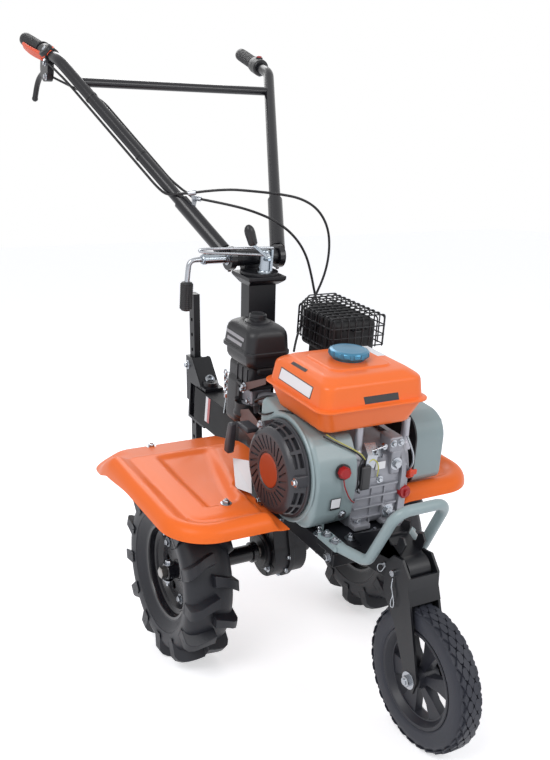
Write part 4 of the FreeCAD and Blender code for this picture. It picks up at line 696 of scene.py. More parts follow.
RIM_LIP = 0.1085
RIM_BOLTS = 5
HUB_INWARD = 0.192
dish = [(0.035, RIM_LIP - 0.002), (0.0358, RIM_LIP), (0.0338, RIM_LIP), (0.0318, 0.103), (0.03, 0.1015),
    (0.016, 0.1005), (0.0125, 0.0965), (0.011, 0.0895), (0.008, 0.087), (0.0012, 0.086), (0.0012, 0.02),
    (0.0045, 0.02), (0.0045, 0.08), (0.0068, 0.082), (0.01, 0.0835), (0.0145, 0.087), (0.016, 0.094),
    (0.019, 0.0975), (0.0305, 0.0985), (0.0338, 0.1005), (0.035, RIM_LIP - 0.002)]


def drive_rim(name, node, middle):
    """One rim on its hub tube, with its bolts, cross bolt and valve. The hub tube points inwards."""
    outward = math.copysign(1.0, middle)
    parts = []
    for face in (-1, 1):
        half = turned(dish, axis=(0, face, 0), steps=72)
        slot_hole = rod((0.052, -0.02, 0), (0.052, 0.02, 0), 0.0095, 24)
        cut_away(half, *ring_of(slot_hole, RIM_BOLTS, first=math.radians(36)))
        parts.append(half)
    hub = turned([(-HUB_INWARD, 0.0145), (-HUB_INWARD, 0.0225), (-HUB_INWARD + 0.0015, 0.024),
        (-HUB_INWARD + 0.0135, 0.024), (-HUB_INWARD + 0.015, 0.0195), (0.032, 0.019), (0.034, 0.0175),
        (0.034, 0.0145)], axis=(0, outward, 0), steps=6 * 8)
    weld = turned([(0.0035, 0.0185), (0.0035, 0.0235), (0.006, 0.0225), (0.0085, 0.0188)],
        axis=(0, outward, 0), steps=40)
    rim = bolt_together(parts + [hub, weld])
    rim.data.transform(Matrix.Translation((0, middle, AXLE.z)))
    smooth(rim, 30.0)
    park(rim, name, "drive_wheels", gloss_black, node)
    wheel_bolt = bolt_together([hex_bolt((0.068, 0.0048, 0), LEFT, 0.013, stud=0.004),
        hex_bolt((0.068, -0.0048, 0), RIGHT, 0.013)])
    bolts = ring_of(wheel_bolt, RIM_BOLTS)
    cross_bolt = hex_bolt((0, outward * 0.027, 0.019), UP, 0.013, 0.007)
    cross_nut = hex_bolt((0, outward * 0.027, -0.019), (0, 0, -1), 0.013, 0.008, stud=0.008)
    valve = rod((0.0, outward * 0.014, 0.093), (0.0, outward * 0.041, 0.096), 0.004, 14, 0.0008)
    hardware = bolt_together(bolts + [cross_bolt, cross_nut, valve])
    hardware.data.transform(Matrix.Translation((0, middle, AXLE.z)))
    smooth(hardware)
    park(hardware, f"{name}_bolts", "drive_wheels", bright_zinc)


drive_rim("pressed_rim_right", "rim_right", -TRACK_HALF)
drive_rim("pressed_rim_left", "rim_left", TRACK_HALF)

SHAFT_FLATS = 0.023
SHAFT_REACH = 0.301
shaft = turned([(-SHAFT_REACH, 0), (-SHAFT_REACH, 0.0105), (-SHAFT_REACH + 0.002, SHAFT_FLATS / math.sqrt(3)),
    (SHAFT_REACH - 0.002, SHAFT_FLATS / math.sqrt(3)), (SHAFT_REACH, 0.0105), (SHAFT_REACH, 0)], AXLE,
    steps=6)
journal = rod(AXLE - Vector((0, 0.054, 0)), AXLE + Vector((0, 0.054, 0)), 0.016, 32, 0.001)
shaft = bolt_together([shaft, journal])
smooth(shaft)
worn_steel = finish_of("oiled_steel", "bright_zinc", (0.34, 0.33, 0.32), 0.38, metallic=1.0, tone=(0.5, 45.0),
    gloss_spread=0.3, grain=(500.0, 0.1))
park(shaft, "hexagon_shaft", "drive_wheels", worn_steel, "drive_shaft")

# === Transport wheel ===
# A small wheel of two black mouldings: a hard rubber tyre with a diamond block tread, on a plastic
# wheel with broad hollow spokes and a deep dished rim. A bright bolt with a nut is its axle.
FRONT_AXLE = PARKED.inverted() @ Vector(joint_at["front_wheel_spin"]["pos_m"])
FRONT_RADIUS = 0.14
front_profile = [(-0.019, 0.0945), (-0.021, 0.0965), (-0.0232, 0.1), (-0.025, 0.104), (-0.025, 0.119),
    (-0.024, 0.1215), (-0.024, 0.125), (-0.0215, 0.13), (-0.017, 0.134), (0.0, 0.1362)]
front_profile += [(-along, radius) for along, radius in reversed(front_profile[:-1])]
front_rubber = finish_of("front_tyre_rubber", "tyre_rubber", (0.026, 0.028, 0.038), 0.5, specular=0.35,
    tone=(0.35, 14.0), gloss_spread=0.15, grain=(350.0, 0.2))
TREAD_PITCHES = 30
carcass = turned(front_profile, steps=120)
blocks = []


def tread_block(across, ahead, length, width, top, corners):
    """One raised block of the front tread, standing at the top of the wheel."""
    points = []
    for level_radius, grow in ((0.1325, 1.15), (top, 1.0)):
        for corner in range(corners):
            angle = math.tau * corner / corners
            turn = (ahead + length * grow * math.cos(angle)) / FRONT_RADIUS
            points.append((level_radius * math.sin(turn), across + width * grow * math.sin(angle),
                level_radius * math.cos(turn)))
    return skinned(points, corners)


pitch_length = math.tau * FRONT_RADIUS / TREAD_PITCHES
models = [tread_block(0.0, 0.0, pitch_length * 0.43, 0.0068, FRONT_RADIUS, 4)]
for hand in (-1, 1):
    models.append(tread_block(hand * 0.0078, pitch_length / 2, pitch_length * 0.4, 0.006, 0.1397, 8))
    models.append(tread_block(hand * 0.015, 0.0, pitch_length * 0.42, 0.005, 0.1385, 4))
    models.append(tread_block(hand * 0.0205, pitch_length / 2, pitch_length * 0.36, 0.0032, 0.1345, 6))
for model in models:
    blocks += ring_of(model, TREAD_PITCHES)
front_tyre = bolt_together(blocks + [carcass])
front_tyre.data.transform(Matrix.Translation(FRONT_AXLE))
smooth(front_tyre, 30.0)
park(front_tyre, "block_tread_tyre", "front_wheel", front_rubber, "front_tyre")

wheel_plastic = finish_of("wheel_plastic", "black_plastic", (0.02, 0.021, 0.028), 0.4, specular=0.35,
    tone=(0.2, 20.0), gloss_spread=0.12, grain=(420.0, 0.08))
wheel_rim = turned([(-0.02, 0.094), (-0.0225, 0.0965), (-0.0235, 0.0945), (-0.0225, 0.09), (-0.018, 0.086),
    (-0.011, 0.0815), (-0.0105, 0.079), (0.0105, 0.079), (0.011, 0.0815), (0.018, 0.086), (0.0225, 0.09),
    (0.0235, 0.0945), (0.0225, 0.0965), (0.02, 0.094), (-0.02, 0.094)], steps=96)
hub_barrel = turned([(-0.025, 0.0065), (-0.025, 0.017), (-0.0235, 0.019), (-0.013, 0.0215), (0.013, 0.0215),
    (0.0235, 0.019), (0.025, 0.017), (0.025, 0.0065), (-0.025, 0.0065)], steps=40)
SPOKES = 6
spoke_points = []
for reach, half_width, half_depth in ((0.019, 0.0075, 0.0125), (0.05, 0.0125, 0.0085),
        (0.0805, 0.0215, 0.009)):
    for around, depth in ((-1, -1), (1, -1), (1, 1), (-1, 1)):
        spoke_points.append((around * half_width, depth * half_depth, reach))
spoke = face_outwards(skinned(spoke_points, 4))
for face in (-1, 1):
    pocket = block((-0.006, face * 0.0035, 0.03), (0.006, face * 0.03, 0.07), 0.003)
    cut_away(spoke, pocket)
round_edges(spoke, 0.0012, 2)
spokes = ring_of(spoke, SPOKES, first=math.radians(15))
front_wheel = bolt_together(spokes + [wheel_rim, hub_barrel])
front_wheel.data.transform(Matrix.Translation(FRONT_AXLE))
smooth(front_wheel, 30.0)
park(front_wheel, "spoked_wheel", "front_wheel", wheel_plastic, "front_rim")

FORK_OUTSIDE = 0.036
axle_shank = rod(FRONT_AXLE - Vector((0, FORK_OUTSIDE + 0.012, 0)), FRONT_AXLE + Vector((0, FORK_OUTSIDE, 0)),
    0.006, 24, 0.0008)
axle_nut = hex_bolt(FRONT_AXLE - Vector((0, FORK_OUTSIDE, 0)), RIGHT, 0.0185, 0.0085)
axle_head = hex_bolt(FRONT_AXLE + Vector((0, FORK_OUTSIDE, 0)), LEFT, 0.0185, 0.0065)
spacers = [turned([(0.0252 * face, 0.0062), (0.0252 * face, 0.01), (0.0308 * face, 0.01),
    (0.0308 * face, 0.0062)], FRONT_AXLE, steps=28) for face in (-1, 1)]
assemble(spacers + [axle_shank, axle_nut, axle_head], "front_axle_bolt", "front_fork", bright_zinc,
    "front_axle")

# === Chain case ===
# Two iron castings bolted together round the chain from the belt shaft down to the wheel shaft, with
# a round cover over each bearing. Painted satin black, and bolted under the engine's rails.
satin_black = finish_of("satin_black_paint", "black_paint", (0.007, 0.0075, 0.01), 0.36, specular=0.38,
    tone=(0.35, 16.0), gloss_spread=0.18, grain=(650.0, 0.12))
case_paint = finish_of("painted_casting", "case_black", (0.011, 0.0115, 0.015), 0.44, specular=0.35,
    tone=(0.5, 22.0), gloss_spread=0.3, grain=(230.0, 0.5))


def node_shape(node):
    """A merged copy of a frame node's shape, as a piece of its own."""
    piece = wire_piece([])
    piece.data = bpy.data.objects[node].data.copy()
    edit_all(piece)
    bpy.ops.mesh.remove_doubles(threshold=MERGE_DISTANCE)
    bpy.ops.mesh.dissolve_limited(angle_limit=math.radians(0.5))
    leave_edit()
    return piece


def dress(node, name, body, material, width=0.0012, segments=2):
    """Takes a copy of a frame node's shape, rounds its edges and lets it stand for the node."""
    piece = round_edges(node_shape(node), width, segments)
    smooth(piece, 30.0)
    hand_over(piece, name, body, material, node)


M8_FLATS = 0.013
M6_FLATS = 0.01


def bolt_row(name, body, flats, axis, places, height=0.006, stud=0.0):
    """A set of like bright bolts or nuts as one piece, on the level machine."""
    return assemble([hex_bolt(place, axis, flats, height, stud=stud) for place in places], name, body,
        bright_zinc)


CASE_HALF = 0.042
CASE_HUB = 0.062
CASE_TOP = Vector((-0.06, 0, 0.47))
dress("chain_case", "chain_case_halves", "chassis", case_paint, 0.0035, 3)
case_hub = AXLE
bearing_parts = []
for hand in (-1, 1):
    bearing_parts.append(turned([(0.0, 0.036), (0.0015, 0.044), (0.006, 0.0445), (0.0085, 0.0425),
        (0.0095, 0.0365), (0.0105, 0.0355), (0.0115, 0.024), (0.0125, 0.0165), (0.0105, 0.0161),
        (0.0, 0.0161), (0.0, 0.036)], case_hub + Vector((0, hand * (CASE_HALF - 0.0008), 0)), (0, hand, 0),
        48))
    for rib in range(5):
        turn = math.radians(-60 + rib * 42)
        reach = Vector((math.cos(turn), 0, math.sin(turn)))
        bearing_parts.append(rod(case_hub + reach * 0.04 + Vector((0, hand * (CASE_HALF - 0.002), 0)),
            case_hub + reach * 0.059 + Vector((0, hand * (CASE_HALF - 0.002), 0)), 0.0035, 12, 0.001))
assemble(bearing_parts, "bearing_covers", "chassis", case_paint)
seam_bolts = []
for turn in (-150, -110, -70, -30, 5):
    reach = Vector((math.cos(math.radians(turn)), 0, math.sin(math.radians(turn))))
    seam_bolts.append(case_hub + reach * (CASE_HUB + 0.001) + Vector((0, -0.0062, 0)))
for share in (0.3, 0.55):
    for hand in (-1, 1):
        seam_bolts.append(case_hub.lerp(CASE_TOP, share) + Vector((hand * (CASE_HUB - 0.012 * share + 0.001),
            -0.0062, 0)))
bolt_row("case_seam_bolts", "chassis", 0.008, RIGHT, seam_bolts, 0.004)
assemble([hex_bolt(case_hub + Vector((-0.02, -CASE_HALF, 0.078)), RIGHT, 0.017, 0.007),
    hex_bolt(case_hub + Vector((0.03, -CASE_HALF, -0.03)), RIGHT, 0.013, 0.006)], "case_plugs", "chassis",
    bright_zinc)

# === Deck frame ===
# Two folded steel rails either side of the chain case, with the engine plate welded over them. The
# fenders' flat stays are bolted under it.
DECK_TOP = 0.39
dress("deck_frame", "deck_rails", "chassis", satin_black, 0.0016)
fender_arms = node_shape("fender_stays")
fender_arms.data.transform(PARKED.inverted())
for vertex in fender_arms.data.vertices:
    under_sheet = 0.416 if vertex.co.x > 0 else 0.384
    vertex.co.z = min(vertex.co.z, under_sheet)
round_edges(fender_arms, 0.001, 2)
smooth(fender_arms)
park(fender_arms, "fender_arms", "chassis", satin_black, "fender_stays")
bolt_row("engine_bolts", "chassis", M8_FLATS, UP, [(0.086, -0.078, DECK_TOP), (0.278, -0.078, DECK_TOP),
    (0.318, 0.03, DECK_TOP), (0.318, -0.03, DECK_TOP)], stud=0.004)
bolt_row("rail_bolts", "chassis", M8_FLATS, RIGHT, [(-0.04, -0.089, 0.37), (0.0, -0.089, 0.37),
    (0.15, -0.089, 0.37), (0.33, -0.089, 0.368)])

# === Fork and its bracket ===
# The transport wheel's fork is two cut steel plates with a folded plate between them, pinned to the
# nose of a folded bracket. Bright spring clips hold the hinge pin and the lock pin.
dress("fork_bracket", "nose_bracket", "chassis", satin_black, 0.002, 3)
dress("front_fork", "wheel_fork", "front_fork", satin_black, 0.001)
dress("fork_pin", "hinge_pin", "front_fork", bright_zinc, 0.0006)


def lock_plate(y_middle):
    """One cut plate on the bracket that the fork folds against: two curved horns round a slot."""
    outline = [(0.405, 0.4), (0.405, 0.452), (0.416, 0.47), (0.432, 0.474), (0.436, 0.462), (0.43, 0.448),
        (0.44, 0.438), (0.456, 0.446), (0.461, 0.464), (0.472, 0.468), (0.481, 0.457), (0.473, 0.438),
        (0.469, 0.428), (0.46, 0.41)]
    plate = wire_piece([(x, y_middle - 0.0025, z) for x, z in outline], [tuple(range(len(outline)))])
    edit_all(plate)
    bpy.ops.mesh.extrude_region_move(TRANSFORM_OT_translate={"value": (0, 0.005, 0)})
    leave_edit()
    return round_edges(face_outwards(plate), 0.0009, 2)


assemble([lock_plate(-0.0225), lock_plate(0.0225), block((0.424, -0.025, 0.425), (0.43, 0.025, 0.452), 0.0012,
    2)], "lock_plates", "chassis", satin_black)
assemble([block((0.474, 0.036, 0.372), (0.498, 0.05, 0.404), 0.003, 3),
    block((0.48, 0.044, 0.378), (0.492, 0.056, 0.396), 0.002, 2)], "fork_stop_lug", "front_fork", satin_black)


def wire_form(points, radius, name, body):
    """A bright spring wire bent through points, as one smooth tube on the level machine."""
    wire = round_wire(name, [(points, False)], radius, resolution=6, sides=3)
    park(wire, name, body, bright_zinc)


wire_form([(0.475, -0.04, 0.389), (0.4752, -0.0415, 0.378), (0.4775, -0.042, 0.37), (0.483, -0.0425, 0.36),
    (0.49, -0.0425, 0.344), (0.488, -0.0425, 0.333), (0.481, -0.0425, 0.333), (0.479, -0.0425, 0.343),
    (0.483, -0.042, 0.356), (0.4805, -0.0415, 0.364), (0.473, -0.041, 0.372), (0.476, -0.0405, 0.385)],
    0.0011, "long_spring_clip", "front_fork")
assemble([rod((0.432, -0.03, 0.392), (0.432, 0.0285, 0.392), 0.0045, 20, 0.0008)], "lock_pin", "chassis",
    bright_zinc)
wire_form([(0.436, -0.0282, 0.3915), (0.433, -0.03, 0.385), (0.429, -0.031, 0.376), (0.42, -0.0315, 0.373),
    (0.415, -0.0315, 0.38), (0.419, -0.031, 0.388), (0.427, -0.03, 0.3905), (0.434, -0.029, 0.396)], 0.0011,
    "short_spring_clip", "chassis")

# === Bumper ===
# One bent steel tube, flattened where two bolts hold each leg to the deck. Painted like the engine's
# cowlings, a pale grey-green.
grey_green = finish_of("grey_green_paint", "grey_green_paint", (0.265, 0.335, 0.345), 0.36, coat=0.15,
    specular=0.4, tone=(0.08, 9.0), gloss_spread=0.1, grain=(420.0, 0.06))
BUMPER_LEG_TOP = 0.407
dress("bumper", "bumper_hoop", "chassis", grey_green, 0.002, 3)
bolt_row("bumper_bolts", "chassis", M8_FLATS, UP, [(x, hand * 0.084, BUMPER_LEG_TOP) for hand in (-1, 1)
    for x in (0.313, 0.343)], stud=0.003)

# === Fenders ===
# Each is one deep-drawn steel sheet over its wheel: a rolled rim round the outside, a flat lip at the
# rear, and a sunk pan over the tyre. Painted gloss orange and bolted to the stays.
fender_orange = finish_of("fender_orange_paint", "orange_paint", (0.88, 0.165, 0.028), 0.32, coat=0.03,
    specular=0.12, tone=(0.05, 5.0), gloss_spread=0.08, grain=(90.0, 0.02))
FENDER_SHEET = 0.0018
FENDER_REAR = -0.262
FENDER_FRONT = 0.252
FENDER_OUT = 0.375
FENDER_IN = 0.046
FENDER_ENGINE_SIDE = 0.132
FENDER_NOTCH = 0.062
FENDER_ROUND = 0.095
HUMP_CREST = 0.431
HUMP_WIDTH = 0.056
SHOULDER = 0.4225
PAN_STEP = 0.112
PAN = 0.4115
REAR_FALL_START = -0.132
REAR_FALL = 0.036
SHELF = 0.4


def ease(value, low, high):
    """Rises smoothly from 0 at low to 1 at high."""
    share = min(1.0, max(0.0, (value - low) / (high - low)))
    return share * share * (3 - 2 * share)


def edge_distance(x, y):
    """How far a point lies inside the hump's outer edge, which the rear flange doesn't have."""
    beyond_front = x - (FENDER_FRONT - FENDER_ROUND)
    beyond_side = y - (FENDER_OUT - FENDER_ROUND)
    beyond_rear = FENDER_REAR + FENDER_ROUND - x
    if beyond_rear > 0 and beyond_side > 0:
        inset = FENDER_ROUND - math.sqrt(max(0.0, FENDER_ROUND ** 2 - beyond_rear ** 2))
        return FENDER_OUT - inset - y
    if beyond_front > 0 and beyond_side > 0:
        return FENDER_ROUND - math.hypot(beyond_front, beyond_side)
    return FENDER_ROUND - max(beyond_front, beyond_side)


def sheet_height(x, y):
    """The pressed sheet's height: hump, shoulder, pan, inner plateau, rear flange and starter shelf."""
    depth = max(0.0, edge_distance(x, y))
    skirt = 0.0205 + 0.014 * ease(-x, 0.0, 0.15)
    skirt *= 1 - 0.85 * ease(-x, 0.16, 0.235)
    hump_share = ease(x, -0.215, -0.13)
    crest_depth = 0.026
    if depth < crest_depth:
        arc = 1 - depth / crest_depth
        crest = SHOULDER + (HUMP_CREST - SHOULDER) * hump_share
        side = crest - (crest - SHOULDER + skirt) * (1 - math.sqrt(max(0.0, 1 - arc ** 2.4)))
    else:
        crest = (HUMP_CREST - SHOULDER + 0.0018) * hump_share
        side = SHOULDER - 0.0018 * hump_share + crest * (1 - ease(depth, crest_depth, HUMP_WIDTH))
        side += 0.0018 * hump_share * ease(depth, HUMP_WIDTH, HUMP_WIDTH + 0.014)
    rear_run = REAR_FALL_START - x
    rear_fall = REAR_FALL * max(0.0, rear_run) / (REAR_FALL_START - FENDER_REAR) * ease(rear_run, -0.004,
        0.02)
    corner_droop = 0.034 * ease(y, 0.29, FENDER_OUT) * ease(-x, 0.15, 0.245)
    pan_bottom = PAN + 0.005 * ease(-x, -0.01, 0.11)
    pan_share = ease(depth, PAN_STEP - 0.004, PAN_STEP + 0.012) * ease(x, REAR_FALL_START, -0.108)
    plateau_line = 0.15 + 0.25 * (x + 0.11)
    plateau = 1 - ease(y, plateau_line - 0.03, plateau_line)
    floor = pan_bottom + (SHOULDER + 0.003 - pan_bottom) * plateau
    height = side * (1 - pan_share) + floor * pan_share - rear_fall - corner_droop
    shelf_share = ease(x, 0.06, 0.086) * (1 - ease(y, 0.15, 0.172))
    return height * (1 - shelf_share) + SHELF * shelf_share


def formed_sheet(columns, rows, place):
    """A sheet of quads: place gives the point at each column and row."""
    bpy.ops.object.select_all(action="DESELECT")
    bpy.ops.mesh.primitive_grid_add(x_subdivisions=columns, y_subdivisions=rows, size=2)
    sheet = bpy.context.object
    for vertex in sheet.data.vertices:
        column = round((vertex.co.x + 1) / 2 * columns)
        row = round((vertex.co.y + 1) / 2 * rows)
        vertex.co = place(column, row)
    return sheet


def spaced(start, end, step):
    """Even stations from start to end, no further apart than step."""
    count = max(1, math.ceil(abs(end - start) / step - 1e-6))
    return [start + (end - start) * index / count for index in range(count + 1)]


CELL = 0.007
rim_depths = [0.0, 0.0008, 0.002, 0.004, 0.0065, 0.0095, 0.013, 0.017, 0.0215, 0.0265, 0.031, 0.035, 0.039,
    0.043, 0.047, 0.051, 0.056, 0.063, 0.071, 0.079, 0.085, 0.089, 0.093, FENDER_ROUND]
lane_x = spaced(FENDER_REAR + FENDER_ROUND, FENDER_NOTCH, CELL)
lane_x += spaced(FENDER_NOTCH, FENDER_FRONT - FENDER_ROUND, CELL)[1:]
lane_y = spaced(FENDER_IN, FENDER_ENGINE_SIDE, CELL)
lane_y += spaced(FENDER_ENGINE_SIDE, FENDER_OUT - FENDER_ROUND, CELL)[1:]
front_lane_y = [y for y in lane_y if y > FENDER_ENGINE_SIDE - 1e-6]
corner_turns = spaced(0.0, math.pi / 2, math.radians(5.0))


def fender_blank():
    """The left fender's skin as one sheet: straight strips, two round corners and the middle."""
    rear_side = FENDER_REAR + FENDER_ROUND
    front_side = FENDER_FRONT - FENDER_ROUND
    out_side = FENDER_OUT - FENDER_ROUND

    def at(x, y):
        """The sheet's point over this place."""
        return Vector((x, y, sheet_height(x, y)))

    def round_corner(hand):
        """The place of each point in the rear (-1) or front (1) outer corner, by turn and by depth."""
        centre_x = rear_side if hand < 0 else front_side

        def place(column, row):
            turn = corner_turns[column]
            reach = FENDER_ROUND - rim_depths[row]
            x = centre_x + hand * reach * math.cos(turn)
            y = out_side + reach * math.sin(turn)
            point = at(x, y)
            if hand < 0:
                flare = 0.014 * (1 - ease(rim_depths[row], 0.0, 0.045)) * math.sin(2 * turn) ** 4
                point += Vector((-flare * 0.5, flare * 0.85, 0))
            return point
        return place

    rims = len(rim_depths)
    before_notch = [x for x in lane_x if x < FENDER_NOTCH + 1e-6]
    beyond_notch = [x for x in lane_x if x > FENDER_NOTCH - 1e-6]
    strips = (
        (len(lane_y), rims, lambda c, r: at(FENDER_REAR + rim_depths[r], lane_y[c])),
        (len(lane_x), rims, lambda c, r: at(lane_x[c], FENDER_OUT - rim_depths[r])),
        (len(front_lane_y), rims, lambda c, r: at(FENDER_FRONT - rim_depths[r], front_lane_y[c])),
        (len(corner_turns), rims, round_corner(-1)), (len(corner_turns), rims, round_corner(1)),
        (len(before_notch), len(lane_y), lambda c, r: at(before_notch[c], lane_y[r])),
        (len(beyond_notch), len(front_lane_y), lambda c, r: at(beyond_notch[c], front_lane_y[r])))
    blank = bolt_together([formed_sheet(columns - 1, rows - 1, place) for columns, rows, place in strips])
    edit_all(blank)
    bpy.ops.mesh.remove_doubles(threshold=2e-5)
    leave_edit()
    face_outwards(blank)
    if blank.data.polygons[0].normal.z < 0:
        blank.data.flip_normals()
    return blank


def walled(sheet, thickness, offset):
    """Gives a sheet its thickness, half to each side (0) or all behind it (-1)."""
    wall = sheet.modifiers.new("wall", "SOLIDIFY")
    wall.thickness = thickness
    wall.offset = offset
    return apply_all(sheet)


def fender(name, node, hand):
    """One fender with its two bolts: the left one (1) as pressed, the right one (-1) as its mirror."""
    sheet = fender_blank()
    if hand < 0:
        sheet.data.transform(Matrix.Scale(-1, 4, (0, 1, 0)))
        sheet.data.flip_normals()
    walled(sheet, FENDER_SHEET, -1.0)
    bpy.ops.object.shade_smooth_by_angle(angle=math.radians(50))
    park(sheet, name, "chassis", fender_orange, node)
    places = [(x, hand * y, sheet_height(x, y)) for x, y in ((0.143, 0.221), (-0.248, 0.222))]
    bolt_row(f"{name}_bolts", "chassis", M8_FLATS, UP, places, stud=0.003)


fender("fender_sheet_left", "fender_left", 1)
fender("fender_sheet_right", "fender_right", -1)

# === Engine ===
# A single-cylinder petrol engine of die-cast alloy: a crankcase with a bolted side cover, an inclined
# finned barrel with its rocker cover, and four pillars for the tank. Bolted to the deck by its feet.
cast_alloy = finish_of("cast_alloy", "engine_alloy", (0.3, 0.305, 0.335), 0.46, metallic=0.45, specular=0.4,
    tone=(0.5, 28.0), gloss_spread=0.3, grain=(260.0, 0.45))
pale_alloy = finish_of("pale_alloy", "engine_alloy", (0.42, 0.42, 0.46), 0.4, metallic=0.45, tone=(0.3, 30.0),
    gloss_spread=0.2, grain=(260.0, 0.3))
label_white = finish_of("blank_label", None, (0.8, 0.8, 0.82), 0.42, coat=0.2, tone=(0.05, 25.0),
    gloss_spread=0.1, grain=(300.0, 0.03))
label_black = finish_of("label_black", "black_plastic", (0.012, 0.012, 0.014), 0.4, coat=0.2,
    gloss_spread=0.1, grain=(300.0, 0.03))
CRANK = Vector((0.182, 0, 0.501))
CYLINDER_TURN = math.radians(205)


def plate_form(outline, y_rear, y_front, corner=0.0, rim=0.0, rim_segments=5):
    """A thick plate cut to an (x, z) outline: rounded corners, and a rounded rim on its y_front face."""
    plate = wire_piece([(x, y_rear, z) for x, z in outline], [tuple(range(len(outline)))])
    if corner:
        edit_all(plate)
        bpy.ops.mesh.bevel(offset=corner, segments=8, affect="VERTICES", clamp_overlap=True)
        leave_edit()
    edit_all(plate)
    bpy.ops.mesh.extrude_region_move(TRANSFORM_OT_translate={"value": (0, y_front - y_rear, 0)})
    leave_edit()
    face_outwards(plate)
    edit_all(plate)
    bpy.ops.mesh.select_all(action="DESELECT")
    leave_edit()
    if rim:
        for edge in plate.data.edges:
            ends = [plate.data.vertices[index].co for index in edge.vertices]
            edge.select = all(abs(end.y - y_front) < 1e-6 for end in ends)
        pick_only(plate)
        bpy.ops.object.mode_set(mode="EDIT")
        bpy.ops.mesh.select_mode(type="EDGE")
        bpy.ops.mesh.bevel(offset=rim, segments=rim_segments, affect="EDGES", clamp_overlap=True)
        bpy.ops.mesh.select_mode(type="VERT")
        leave_edit()
    return plate


def along_cylinder(piece):
    """Lays a piece drawn along +x from the crankshaft into the inclined cylinder's line."""
    piece.data.transform(Matrix.Translation(CRANK) @ Matrix.Rotation(CYLINDER_TURN, 4, "Y"))
    return piece


case_outline = [(0.072, 0.392), (0.286, 0.392), (0.288, 0.505), (0.276, 0.548), (0.252, 0.562), (0.17, 0.566),
    (0.1, 0.53), (0.072, 0.47)]
flange_outline = [(0.068, 0.39), (0.294, 0.39), (0.296, 0.508), (0.282, 0.556), (0.256, 0.57), (0.168, 0.573),
    (0.094, 0.536), (0.068, 0.474)]
engine_parts = [plate_form(case_outline, 0.104, -0.012, 0.014, 0.006),
    plate_form(flange_outline, 0.101, 0.113, 0.016, 0.002, 2),
    plate_form(case_outline, 0.112, 0.126, 0.016, 0.007), turned([(0.0, 0.0), (0.0, 0.034), (0.01, 0.03),
    (0.012, 0.024), (0.012, 0.0)], (CRANK.x, 0.124, CRANK.z)),
    rod((CRANK.x, 0.126, CRANK.z), (CRANK.x, 0.18, CRANK.z), 0.012, 28)]
for rib_height in (0.414, 0.436, 0.458, 0.48):
    engine_parts.append(block((0.28, -0.008, rib_height - 0.0022), (0.2925, 0.098, rib_height + 0.0022),
        0.0012, 2))
for rib_side in (0.034, 0.066):
    engine_parts.append(block((0.278, rib_side - 0.002, 0.396), (0.2905, rib_side + 0.002, 0.482), 0.0012, 2))
engine_parts += [block((0.25, 0.068, 0.548), (0.292, 0.1, 0.582), 0.005, 3),
    block((0.262, 0.074, 0.5), (0.2925, 0.098, 0.552), 0.004, 3),
    block((0.276, 0.06, 0.41), (0.296, 0.088, 0.436), 0.004, 3),
    block((0.262, -0.01, 0.488), (0.29, 0.06, 0.5), 0.003, 2),
    block((0.256, 0.06, 0.392), (0.304, 0.104, 0.404), 0.003, 2),
    block((0.256, -0.01, 0.392), (0.304, 0.03, 0.404), 0.003, 2),
    along_cylinder(block((0.03, -0.04, -0.042), (0.178, 0.062, 0.042), 0.006, 3)),
    along_cylinder(block((0.176, -0.04, -0.046), (0.187, 0.062, 0.046), 0.003, 2)),
    along_cylinder(block((0.187, -0.032, -0.036), (0.205, 0.054, 0.036), 0.009, 4))]
FINS = 10
for fin in range(FINS):
    along = 0.1 + 0.076 * fin / (FINS - 1)
    engine_parts.append(along_cylinder(block((along, -0.0455, -0.0535), (along + 0.0022, 0.0675, 0.0535),
        0.0008, 2)))
assemble(engine_parts, "engine_casting", "chassis", cast_alloy, "engine")

pillars = []
for pillar_x, pillar_y, pillar_foot in ((0.262, 0.008, 0.545), (0.258, 0.128, 0.545), (0.125, -0.024, 0.54),
        (0.125, 0.104, 0.54)):
    pillars.append(turned([(0, 0), (0, 0.0115), (0.008, 0.0115), (0.011, 0.0088),
        (0.606 - pillar_foot, 0.0082), (0.606 - pillar_foot, 0)], (pillar_x, pillar_y, pillar_foot), UP, 32))
pillars.append(block((0.252, 0.116, 0.536), (0.268, 0.14, 0.549), 0.003, 2))
assemble(pillars, "tank_pillars", "chassis", pale_alloy)

cover_bolts = [(0.281, 0.402), (0.286, 0.452), (0.282, 0.512), (0.262, 0.552), (0.2, 0.558), (0.14, 0.546),
    (0.088, 0.5), (0.08, 0.43), (0.11, 0.4), (0.2, 0.4)]
bolt_row("side_cover_bolts", "chassis", M6_FLATS, LEFT, [(x, 0.1125, z) for x, z in cover_bolts], 0.006)
bolt_row("crankcase_plugs", "chassis", 0.015, FORWARD, [(0.2955, 0.074, 0.423), (0.2925, 0.086, 0.524)],
    0.008)
bolt_row("case_front_bolts", "chassis", 0.009, FORWARD, [(0.288, 0.006, 0.408), (0.2925, 0.092, 0.57),
    (0.2925, 0.074, 0.57), (0.29, 0.05, 0.494)], 0.005)

